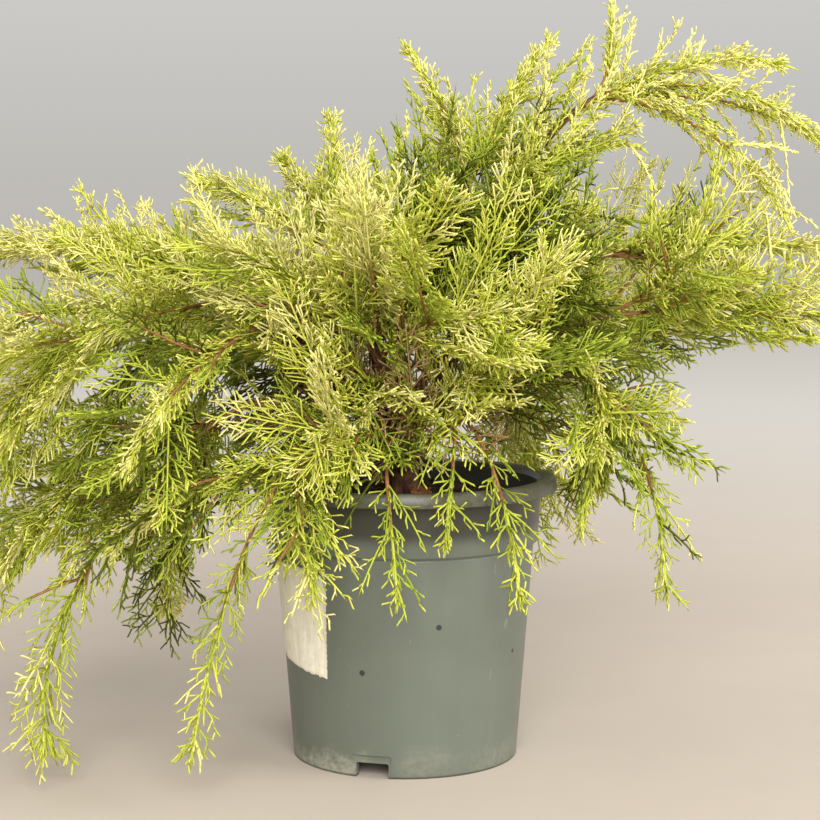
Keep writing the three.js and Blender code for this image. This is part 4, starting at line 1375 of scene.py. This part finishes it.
class Bundle:
    """Tubes that share one material, gathered until they are joined in pieces."""

    def __init__(self):
        self.parts = []

    def add(self, points, radii, across, sides):
        if len(points):
            self.parts.append(Tubes(points, radii, across, sides))

    def join(self, name, material, slot):
        """Makes the pieces, each under MOST_TRIANGLES triangles."""
        groups, room = [[]], MOST_TRIANGLES
        for part in self.parts:
            if part.triangles > room and groups[-1]:
                groups.append([])
                room = MOST_TRIANGLES
            groups[-1].append(part)
            room -= part.triangles
        for number, group in enumerate(groups, 1):
            vertices = np.concatenate([part.vertices for part in group])
            shares = np.concatenate([part.shares for part in group])
            starts = np.cumsum([0] + [len(part.vertices) for part in group])
            faces = []
            for size in sorted({size for part in group for size in part.faces}):
                placed = [f + start for part, start in zip(group, starts) for f in part.faces.get(size, [])]
                faces.append(np.concatenate(placed))
            title = name if len(groups) == 1 else f"{name}_{number}"
            piece = piece_from_arrays(title, vertices, faces, along=shares)
            hand_over(piece, material, FOLIAGE_NODES)


# Bark


def strips(around, along, cells):
    """Uneven strips round a limb: smooth noise that repeats round it and runs long along it."""
    wide = len(cells[0])
    x = around * wide
    y = np.clip(along, 0, 0.9999) * (len(cells) - 1)
    x0, y0 = np.floor(x).astype(int), np.floor(y).astype(int)
    fx, fy = x - x0, y - y0
    fx, fy = fx * fx * (3 - 2 * fx), fy * fy * (3 - 2 * fy)
    low = cells[y0, x0 % wide] * (1 - fx) + cells[y0, (x0 + 1) % wide] * fx
    high = cells[y0 + 1, x0 % wide] * (1 - fx) + cells[y0 + 1, (x0 + 1) % wide] * fx
    return low * (1 - fy) + high * fy


def bark_tube(limb, rng):
    """A limb's bark: strips that twist slowly round it, knots, and a collar where it leaves its host."""
    trunk = limb.host is None
    grain = TRUNK_BARK if trunk else BOUGH_BARK
    sides = grain["sides"]
    length = limb.curve.length
    share = np.linspace(0, 1, int(length / grain["step"]) + 1)
    points, along = limb.curve.at(share), limb.curve.along(share)
    radius = limb.radius(share)
    if not trunk:
        radius = radius + COLLAR["swell"] * limb.root * np.exp(-share * length / COLLAR["length"])
        points = np.concatenate((limb.host[None], points))
        along = np.concatenate((along[:1], along))
        radius = np.concatenate((radius[:1], radius))
        share = np.concatenate(((0.0,), share))
    first = unit(np.cross(along, side_of(along[:1], 0.0)))
    second = np.cross(along, first)
    around, down = np.meshgrid(np.arange(sides) / sides, share, indexing="xy")
    twist = (around + BARK_TWIST * down * length) % 1.0
    wide = max(5, int(2 * math.pi * limb.root / STRIP["width"]))
    coarse = strips(twist, down, rng.random((max(3, int(length / STRIP["length"])), wide)))
    fine = strips(twist, down, rng.random((max(4, int(length / STRIP["fine_length"])), 3 * wide)))
    ridge = np.clip(0.62 * coarse + 0.38 * fine, 0, 1)
    deep = grain["deep"] * limb.root
    knots = strips(around, down, rng.random((max(3, int(length / KNOT["apart"])), 4)))
    reach = radius[:, None] + deep * (ridge - 0.62) + KNOT["swell"] * knots * radius[:, None]
    grid = points[:, None] + spokes(first, second, sides) * reach[:, :, None]
    quads, here, following = ring_quads(len(points), sides)
    vertices = np.concatenate((grid.reshape(-1, 3), points[:1], points[-1:] + along[-1:] * 0.8))
    end = len(points) * sides
    foot = np.stack((following, here, np.full(sides, end)), axis=-1)
    tip = np.stack((end - sides + here, end - sides + following, np.full(sides, end + 1)), axis=-1)
    return vertices, quads, np.concatenate((foot, tip)), np.append(ridge.ravel(), (0.4, 0.5))


def make_bark(settings):
    """The trunk and all boughs in one mesh, which keeps how high the bark's ridges stand."""
    rng = np.random.default_rng(BARK_SEED)
    vertices, quads, caps, ridges, start = [], [], [], [], 0
    for limb in grow_limbs().values():
        corners, limb_quads, limb_caps, ridge = bark_tube(limb, rng)
        vertices.append(corners)
        quads.append(limb_quads + start)
        caps.append(limb_caps + start)
        ridges.append(ridge)
        start += len(corners)
    faces = [np.concatenate(quads), np.concatenate(caps)]
    ridges = np.concatenate(ridges)
    piece = piece_from_arrays("trunk_and_boughs", np.concatenate(vertices), faces, ridge=ridges)
    return hand_over(piece, bark_material(settings), ["trunk", *BOUGH_NODES])


# Foliage


class Room:
    """Where the foliage may grow: over the floor, under the crown's edge, clear of the pot and the limbs."""

    def __init__(self, limbs, pot):
        low, high = CAD_BOX
        self.low = np.array(low) / MM - 1.5
        self.high = np.array(high) / MM + 1.5
        self.low[2] = FLOOR_CLEAR
        self.rim, self.top = pot.rim_radius / MM, pot.height / MM
        self.inside = inner_radius(self.top, pot)
        share = np.linspace(0, 1, 17)
        ends = [(limb.curve.at(share), limb.radius(share)) for limb in limbs.values()]
        self.a = np.concatenate([points[:-1] for points, _ in ends])
        self.ab = np.concatenate([np.diff(points, axis=0) for points, _ in ends])
        self.radius = np.concatenate([radius[:-1] for _, radius in ends])
        self.square = np.sum(self.ab**2, axis=1)

    def clear_of_limbs(self, points, radius):
        clear = np.ones(len(points), bool)
        for start in range(0, len(points), 4000):
            away = points[start : start + 4000, None] - self.a
            share = np.clip(np.sum(away * self.ab, axis=2) / self.square, 0, 1)
            near = np.linalg.norm(away - self.ab * share[:, :, None], axis=2)
            clear[start : start + 4000] = np.all(near > self.radius + radius + LIMB_CLEAR, axis=1)
        return clear

    def has(self, points, radius, headroom):
        """Whether balls of a radius fit at the points, each so far above the crown's edge at most."""
        x, y, z = points.T
        fits = np.all((points > self.low + radius) & (points < self.high - radius), axis=1)
        fits &= z < edge_height(x) + headroom
        away = np.hypot(x, y)
        clear = radius + 1
        over = (z > self.top + clear) | (away > self.rim + clear)
        within = (away < self.inside - clear) & (z > MEDIUM_TOP + MEDIUM_MOUND + clear)
        fits &= over | within
        fits[fits] = self.clear_of_limbs(points[fits], radius)
        return fits


def outward(points):
    """Directions away from the crown's middle."""
    return unit(points - CROWN_MIDDLE)


def edge_height(x):
    """Height of the crown's upper edge."""
    return np.interp(x, CROWN_EDGE_X, CROWN_EDGE_Z)


def on_rows(points, rows, shares):
    """Places and directions at shares of the way along chosen rows of points."""
    last = points.shape[1] - 1
    x = np.clip(shares, 0, 0.9999) * last
    i = x.astype(int)
    f = (x - i)[:, None]
    a, b = points[rows, i], points[rows, i + 1]
    return a * (1 - f) + b * f, unit(b - a)


class Growth:
    """Rows of points that grew alike, each with a side it faces, and what its own side growth goes by."""

    def __init__(self, points, facing, length=None, lift=None, headroom=None, width=None, tint=None):
        self.points, self.facing, self.length, self.lift = points, facing, length, lift
        self.headroom, self.width, self.tint = headroom, width, tint

    def pick(self, chosen):
        fields = self.points, self.facing, self.length, self.lift, self.headroom, self.width, self.tint
        return Growth(*(field[chosen] for field in fields))


def grow_sprays(stem, spacing, habit, bare, rng, room):
    """Ribs of the sprays that turn round a stem, each bent by the mass's lift and cut to the room it has."""
    mass, curve = stem.mass, stem.curve
    count = max(3, round(curve.length * (1 - bare) / spacing))
    i = np.arange(count)
    t = bare + (LAST_SPRAY - bare) * (i + 0.5 * rng.random(count)) / count
    start, along = curve.at(t), curve.along(t)
    side = side_of(along, GOLDEN_ANGLE * i + SPRAY_TURN * rng.random(count))
    direction = lean_from(along, side, SPRAY_ANGLE + SPRAY_FAN * (rng.random(count) - 0.5))
    direction = unit(direction + outward(start) * OUTWARD_PULL)
    swell = 0.75 + 0.35 * np.sin(math.pi * np.minimum(1, t + 0.15))
    last = 1 - 0.3 * np.clip((t - 0.78) / 0.22, 0, 1)
    length = mass["spray"] * swell * (1.05 - 0.38 * t) * last * (0.58 + 0.62 * rng.random(count))
    rise = 0.5 * mass["lift"] - habit["droop"] * np.maximum(0, 0.4 - direction[:, 2])
    if mass["lift"] > WEEPING:
        rise += PLUME["rise"] * np.maximum(0, direction[:, 2])
    headroom = -habit["under"] - habit["drop"] * rng.random(count) ** 0.7
    ribs = np.zeros((count, RIB_POINTS, 3))
    grown = np.zeros(count, bool)
    shares = np.linspace(0, 1, RIB_POINTS)[:, None]
    for part in RIB_CUTS:
        long = (length * part)[:, None]
        middle = start + direction * long * KNEE
        end = start + direction * long + UP * rise[:, None] * long
        trial = (
            start[:, None] * (1 - shares) ** 2
            + middle[:, None] * 2 * shares * (1 - shares)
            + end[:, None] * shares**2
        )
        outer = trial[:, 2:]
        above = np.repeat(headroom, outer.shape[1])
        fits = room.has(outer.reshape(-1, 3), 1.2, above).reshape(count, -1).all(axis=1)
        new = fits & ~grown
        ribs[new] = trial[new]
        length = np.where(new, length * part, length)
        grown |= new
    plane = np.cross(outward(start), direction)
    plane = turned(unit(plane), direction, np.radians(SPRAY_TILT * (2 * rng.random(count) - 1)))
    facing = unit(np.cross(direction, plane))
    lift = np.full(count, 0.12 * mass["lift"])
    tips = ribs[:, -1]
    high = tips[:, 2] > edge_height(tips[:, 0]) - PLUME["under"]
    width = np.where(high, min(habit["width"], PLUME["width"]), habit["width"])
    fields = (each[grown] for each in (ribs, facing, length, lift, headroom, width))
    return Growth(*fields), t[grown]


def sprout(parent, habit, spacing, longest, rng, room):
    """Side growth on rows of points: left and right by turns, each a short bent row of three points."""
    counts = np.maximum(0, ((parent.length - habit["first"] - 1) / spacing + 1).astype(int))
    rows = np.repeat(np.arange(len(counts)), counts)
    total = len(rows)
    step = np.arange(total) - np.repeat(np.cumsum(counts) - counts, counts)
    walked = habit["first"] + (step + 0.5 * (rng.random(total) - 0.5)) * spacing
    share = np.minimum(LAST_SHOOT, walked / parent.length[rows])
    root, along = on_rows(parent.points, rows, share)
    hand = np.where((step + rows) % 2 == 0, 1.0, -1.0)[:, None]
    side = unit(np.cross(parent.facing[rows], along)) * hand
    side = turned(side, along, np.radians(habit["roll"] * rng.standard_normal(total)))
    direction = lean_from(along, side, habit["angle"] + habit["jitter"] * rng.standard_normal(total))
    long = longest(parent.length[rows], walked, share) * parent.width[rows] * (0.7 + 0.5 * rng.random(total))
    reach = long[:, None]
    knee = root + direction * reach * KNEE
    tip = root + unit(direction + along * habit["bend"]) * reach + UP * (parent.lift[rows] * long)[:, None]
    headroom = parent.headroom[rows] + EDGE_SLACK
    fits = room.has(tip, 0.8, headroom) & room.has(knee, 0.8, headroom)
    facing = unit(np.cross(direction, side) + 0.12 * rng.standard_normal(root.shape))
    points = np.stack((root, knee, tip), axis=1)
    kept = rows[fits]
    lift, width = 0.5 * parent.lift[kept], np.sqrt(parent.width[kept])
    tint = lighten(parent.tint[kept], share[fits], rng)
    return Growth(points[fits], facing[fits], long[fits], lift, parent.headroom[kept], width, tint)


def lighten(tints, share, rng):
    """Growth near a tip is a tint paler, and a little of the rest is a tint darker. Straw stays straw."""
    drawn = rng.random(len(tints))
    paler = (share > 0.55) & (drawn < 0.5)
    darker = (share < 0.4) & (drawn > 0.82)
    return np.where(tints < 0, tints, np.clip(tints + paler - darker, 0, len(TINTS) - 1))


def looseness(mass):
    """The habit of a mass, by the columns of the habits' table."""
    row = LOOSE.get(mass["name"], WEEPING_LOOSE if mass["lift"] <= WEEPING else PLAIN)
    return dict(zip(LOOSE_COLUMNS, row + (0,) * (len(LOOSE_COLUMNS) - len(row))))


def twig_length(parent, walked, share):
    """Twigs are longest a little way along a rib, and shorten to its tip."""
    opening = np.minimum(1, TWIG_LENGTH["at_root"] + walked / TWIG_LENGTH["full_by"])
    length = TWIG_LENGTH["share"] * parent * (1 - TWIG_LENGTH["taper"] * share) * opening
    return np.clip(length, TWIG_LENGTH["least"], TWIG_LENGTH["most"])


def shortening(sizes):
    """Shoots and spurs shorten evenly to the end of what they grow on."""

    def length(parent, walked, share):
        return np.clip(sizes["least"] + sizes["share"] * (parent - walked), sizes["least"], sizes["most"])

    return length


def stem_radius(share):
    """How thick a stem is at a share of its length."""
    return STEM_RADIUS + (STEM_TIP_RADIUS - STEM_RADIUS) * share


def blunted(points):
    """Short rows whose knee stands out, so that a shoot keeps its thickness to near its tip."""
    root, knee, tip = points[:, 0], points[:, 1], points[:, 2]
    return np.stack((root, root + (tip - root) * 0.32 + (knee - root) * 0.98, tip), axis=1)


class Foliage:
    """Gathers everything that grows, by tint."""

    def __init__(self, plant, room):
        self.plant, self.room = plant, room
        self.radius = plant.shoot_radius / MM
        self.bundles = {name: Bundle() for name in (*TINTS, "straw", "wood")}

    def add(self, growth, points, widths, sides=3):
        """Rows of points go to the bundle of their tint."""
        radii = np.tile(np.asarray(widths) * self.radius, (len(points), 1))
        for number, name in (*enumerate(TINTS), (STRAW, "straw")):
            chosen = growth.tint == number
            self.bundles[name].add(points[chosen], radii[chosen], growth.facing[chosen], sides)

    def leaf_out(self, ribs, rng, weeping):
        """Twigs on each rib, leafy shoots on the twigs, and spurs on the ribs of plumes."""
        apart = WEEPING_APART if weeping else 1
        twig_spacing = self.plant.twig_spacing / MM * apart
        shoot_spacing = self.plant.shoot_spacing / MM * apart
        twigs = sprout(ribs, TWIG_HABIT, twig_spacing, twig_length, rng, self.room)
        self.add(twigs, twigs.points, TWIG_WIDTHS)
        shoots = sprout(twigs, SHOOT_HABIT, shoot_spacing, shortening(SHOOT_LENGTH), rng, self.room)
        shoots = shoots.pick((shoots.tint >= 0) | (rng.random(len(shoots.tint)) < DRY_SHOOTS))
        self.add(shoots, blunted(shoots.points), SHOOT_WIDTHS)
        plumes = ribs.pick((ribs.width < PLUME["slim"]) & (not weeping))
        spurs = sprout(plumes, SPUR_HABIT, shoot_spacing, shortening(SPUR_LENGTH), rng, self.room)
        self.add(spurs, blunted(spurs.points), SHOOT_WIDTHS)

    def clothe(self, stem, bare, rng):
        """Sprays along a stem or a bough, from where it stops being bare."""
        mass = stem.mass
        weeping = mass["lift"] <= WEEPING
        habit = looseness(mass)
        spacing = self.plant.spray_spacing / MM * habit["apart"]
        ribs, t = grow_sprays(stem, spacing, habit, bare, rng, self.room)
        level = (self.light_on(ribs, t, mass, rng) * LIGHT["steps"]).astype(int)
        ribs.tint = np.clip(level - (level > TINTS.index("gold")), 0, len(TINTS) - 1)
        inner = np.linalg.norm(ribs.points[:, RIB_MIDDLE] - DRY_MIDDLE, axis=1) < DRY_REACH
        ribs.tint[inner & (rng.random(len(t)) < DRY_SHARE)] = STRAW
        self.add(ribs, ribs.points, np.linspace(*RIB_WIDTHS, RIB_POINTS))
        self.leaf_out(ribs, rng, weeping)
        woody = (rng.random(len(t)) < WOODY_SHARE) & (t < WOODY_BEFORE) & (ribs.width > PLUME["width"])
        brown = ribs.points[woody, :WOODY_POINTS]
        radii = np.tile(np.linspace(*WOODY_WIDTHS, WOODY_POINTS) * self.radius, (len(brown), 1))
        self.bundles["wood"].add(brown, radii, ribs.facing[woody], 5)

    def light_on(self, ribs, t, mass, rng):
        """How much light sprays have had: less inside the crown and under it, more high up. It picks their
        tints, which paint this light and shade into the colour, partly the paler growth that sun brings.
        """
        middle = ribs.points[:, RIB_MIDDLE]
        x, y, z = middle.T
        deep = np.where(y < 0, CROWN_HALF["front"], CROWN_HALF["back"])
        high = (z - CROWN_HALF["middle"]) / CROWN_HALF["high"]
        out = np.sqrt((x / CROWN_HALF["wide"]) ** 2 + (y / deep) ** 2 + high**2)
        rise = (z - LIGHT_HEIGHT["from"]) / LIGHT_HEIGHT["over"]
        light = LIGHT["out"] * out + LIGHT["along"] * t + LIGHT["height"] * rise - LIGHT["less"]
        light += TINT_LEAN[mass["tint"]]
        if mass["lift"] > WEEPING:
            light -= UNDERSIDE * np.maximum(0, -unit(middle - ribs.points[:, 0])[:, 2])
            light += EDGE_LIGHT * (ribs.width <= PLUME["width"])
        for *lit_place, reach, gain in LIT_PLACES:
            away = np.linalg.norm(middle - lit_place, axis=1)
            light += gain * np.exp(-((away / reach) ** 2))
        return light + LIGHT["chance"] * rng.standard_normal(len(t))

    def add_stem(self, stem, rng):
        """The stem itself: brown wood for the first part, then green, leafy to its tip."""
        mass, curve = stem.mass, stem.curve
        weeping = mass["lift"] <= WEEPING
        woody = STEM_WOOD["rising" if mass["lift"] >= PLUME["rise"] else "other"]
        shares = np.linspace(0, woody + STEM_WOOD["overlap"], max(6, int(curve.length * woody / 6)))
        points = np.concatenate((stem.root[None], curve.at(shares)))[None]
        across = side_of(curve.along(0.5)[None], 0.0)
        self.bundles["wood"].add(points, stem_radius(np.append(0, shares))[None] * 1.04, across, 6)
        shares = np.linspace(woody, 1, 12)
        tint = np.array([TINTS.index("green" if mass["tint"] == "green" else "lime")])
        green = Growth(curve.at(shares)[None], across, tint=tint)
        self.add(green, green.points, stem_radius(shares) / self.radius, 5)
        start = STEM_LEAFY["weeping" if weeping else "other"]
        rows = curve.at(np.linspace(start, 1, 9))[None]
        length = np.array([curve.length * (1 - start) * 0.98])
        lift = np.array([0.1 * mass["lift"]])
        width = np.array([looseness(mass)["width"] * (1 if weeping else STEM_WIDTH)])
        if not weeping:
            tint = tint + 1
        for turn in WEEPING_PLANES if weeping else STEM_PLANES:
            facing = side_of(curve.along(0.7)[None], 90.0 + turn)
            stem_as_rib = Growth(rows, facing, length, lift, np.zeros(1), width, tint)
            self.leaf_out(stem_as_rib, rng, weeping)


def make_foliage(plant, pot):
    """All that grows on the stems and the boughs, each with a seed of its own, joined by colour."""
    limbs = grow_limbs()
    foliage = Foliage(plant, Room(limbs, pot))
    for number, stem in enumerate(grow_stems(limbs) + grow_side_stems(limbs)):
        rng = np.random.default_rng(STEM_SEED + number)
        foliage.clothe(stem, BARE_STEM / stem.curve.length, rng)
        foliage.add_stem(stem, rng)
    for number, (name, limb) in enumerate(limbs.items()):
        if name == "trunk":
            continue
        lift = BOUGH_LIFT["high" if limb.curve.at(1)[2] > BOUGH_HIGH else "low"]
        tint = "bright" if name in LIT_BOUGHS else "lime"
        mass = {"name": name, "spray": BOUGH_SPRAY, "lift": lift, "tint": tint}
        rng = np.random.default_rng(BOUGH_SEED + number)
        foliage.clothe(Stem(mass, limb.curve, limb.host), BOUGH_BARE, rng)
    for name in TINTS:
        material = foliage_material(name, getattr(plant, name))
        foliage.bundles[name].join("sprays_" + name, material, "foliage")
    foliage.bundles["straw"].join("dry_twigs", foliage_material("straw", plant.straw), "foliage")
    foliage.bundles["wood"].join("young_stems", young_wood_material(plant), "bark")


# The stage


def make_floor(stage):
    """A plain pale floor, paler far off."""
    begin("floor")
    bpy.ops.mesh.primitive_circle_add(vertices=96, radius=stage.floor_radius, fill_type="NGON")
    floor = bpy.context.object
    floor.name = "floor"
    material, tree, shader, coordinates = new_material("floor_paint", 0.7, 0.25)
    tone = mottled(tree, coordinates, tuple(stage.floor), 3, 0.97, 1.02)
    far_off = in_range(tree, from_origin(tree, coordinates), *FAR_FLOOR)
    colour = mix_colour(tree, far_off, tone.outputs["Color"], tuple(stage.far_floor))
    tree.links.new(colour, shader.inputs["Base Color"])
    floor.data.materials.append(material)


def soft_light(name, light, power):
    """A large round light, aimed at the plant."""
    begin(name)
    bpy.ops.object.light_add(type="AREA", location=light["place"])
    lamp = bpy.context.object
    lamp.name = name
    lamp.data.shape = "DISK"
    lamp.data.size = light["size"]
    lamp.data.energy = power
    lamp.data.color = light["colour"]
    lamp.rotation_euler = (Vector(LIGHT_TARGET) - lamp.location).to_track_quat("-Z", "Y").to_euler()


def set_surround(stage):
    """A pale surround, a little darker low down."""
    world = bpy.context.scene.world or bpy.data.worlds.new("surround")
    bpy.context.scene.world = world
    world.use_nodes = True
    tree = world.node_tree
    direction = tree.nodes.new("ShaderNodeTexCoord").outputs["Generated"]
    up = add_node(tree, "ShaderNodeSeparateXYZ", Vector=direction).outputs["Z"]
    above = in_range(tree, up, *HORIZON_BAND)
    sky = mix_colour(tree, above, tuple(stage.horizon), tuple(stage.surround))
    tree.links.new(sky, tree.nodes["Background"].inputs["Color"])


def set_camera():
    """The photograph's view."""
    begin("camera")
    location = [CAMERA[axis] * MM for axis in ("x", "y", "z")]
    bpy.ops.object.camera_add(location=location, rotation=(math.radians(90 - CAMERA["down"]), 0, 0))
    camera = bpy.context.object
    camera.name = "camera"
    camera.data.lens = CAMERA["lens"]
    camera.data.sensor_width = CAMERA["sensor"]
    bpy.context.scene.camera = camera
    bpy.context.scene.view_settings.view_transform = "Standard"


# Operators


class JUNIPER_OT_pot(bpy.types.Operator):
    """Build the nursery pot"""

    bl_idname = "juniper.pot"
    bl_label = "Pot"

    def execute(self, context):
        make_pot(context.scene.juniper_pot)
        return {"FINISHED"}


class JUNIPER_OT_medium(bpy.types.Operator):
    """Fill the pot with peat, bark chips and a dry leaf"""

    bl_idname = "juniper.medium"
    bl_label = "Growing medium"

    def execute(self, context):
        make_medium(context.scene.juniper_pot)
        dark = make_chips("bark_chips", count=420, smallest=1.6, largest=6.5, flatness=0.35, seed=5)
        hand_over(dark, chip_material("dark_chips", linear("3d2c20")), [])
        pale = make_chips("pale_grit", count=60, smallest=0.9, largest=2.4, flatness=0.7, seed=6)
        hand_over(pale, chip_material("pale_grit", linear("8b7a63")), [])
        make_dry_leaf()
        return {"FINISHED"}


class JUNIPER_OT_label(bpy.types.Operator):
    """Stick the bare paper label on the pot"""

    bl_idname = "juniper.label"
    bl_label = "Paper label"

    def execute(self, context):
        make_label(context.scene.juniper_pot)
        return {"FINISHED"}


class JUNIPER_OT_bark(bpy.types.Operator):
    """Grow the trunk and the boughs with their bark"""

    bl_idname = "juniper.bark"
    bl_label = "Trunk and boughs"

    def execute(self, context):
        make_bark(context.scene.juniper_plant)
        return {"FINISHED"}


class JUNIPER_OT_foliage(bpy.types.Operator):
    """Grow the stems, sprays, twigs and leafy shoots"""

    bl_idname = "juniper.foliage"
    bl_label = "Foliage"

    def execute(self, context):
        make_foliage(context.scene.juniper_plant, context.scene.juniper_pot)
        return {"FINISHED"}


class JUNIPER_OT_stage(bpy.types.Operator):
    """Set the floor, lights and camera"""

    bl_idname = "juniper.stage"
    bl_label = "Stage"

    def execute(self, context):
        stage = context.scene.juniper_stage
        make_floor(stage)
        soft_light("key_light", KEY_LIGHT, stage.key)
        soft_light("fill_light", FILL_LIGHT, stage.fill)
        set_surround(stage)
        set_camera()
        return {"FINISHED"}


OPERATORS = (
    JUNIPER_OT_pot,
    JUNIPER_OT_medium,
    JUNIPER_OT_label,
    JUNIPER_OT_bark,
    JUNIPER_OT_foliage,
    JUNIPER_OT_stage,
)


class VIEW3D_PT_juniper(bpy.types.Panel):
    """Lists the operators and the settings"""

    bl_label = "Potted juniper"
    bl_space_type = "VIEW_3D"
    bl_region_type = "UI"
    bl_category = "Juniper"

    def draw(self, context):
        for operator in OPERATORS:
            self.layout.operator(operator.bl_idname)
        for group in (context.scene.juniper_pot, context.scene.juniper_plant, context.scene.juniper_stage):
            box = self.layout.box()
            for name in group.bl_rna.properties.keys():
                if name not in ("rna_type", "name"):
                    box.prop(group, name)


CLASSES = (PotSettings, PlantSettings, StageSettings, *OPERATORS, VIEW3D_PT_juniper)


def register():
    for cls in CLASSES:
        bpy.utils.register_class(cls)
    bpy.types.Scene.juniper_pot = bpy.props.PointerProperty(type=PotSettings)
    bpy.types.Scene.juniper_plant = bpy.props.PointerProperty(type=PlantSettings)
    bpy.types.Scene.juniper_stage = bpy.props.PointerProperty(type=StageSettings)


def unregister():
    del bpy.types.Scene.juniper_stage
    del bpy.types.Scene.juniper_plant
    del bpy.types.Scene.juniper_pot
    for cls in reversed(CLASSES):
        bpy.utils.unregister_class(cls)


def main():
    register()
    bpy.ops.juniper.pot()
    bpy.ops.juniper.medium()
    bpy.ops.juniper.label()
    bpy.ops.juniper.bark()
    bpy.ops.juniper.foliage()
    bpy.ops.juniper.stage()


if __name__ == "__main__":
    main()
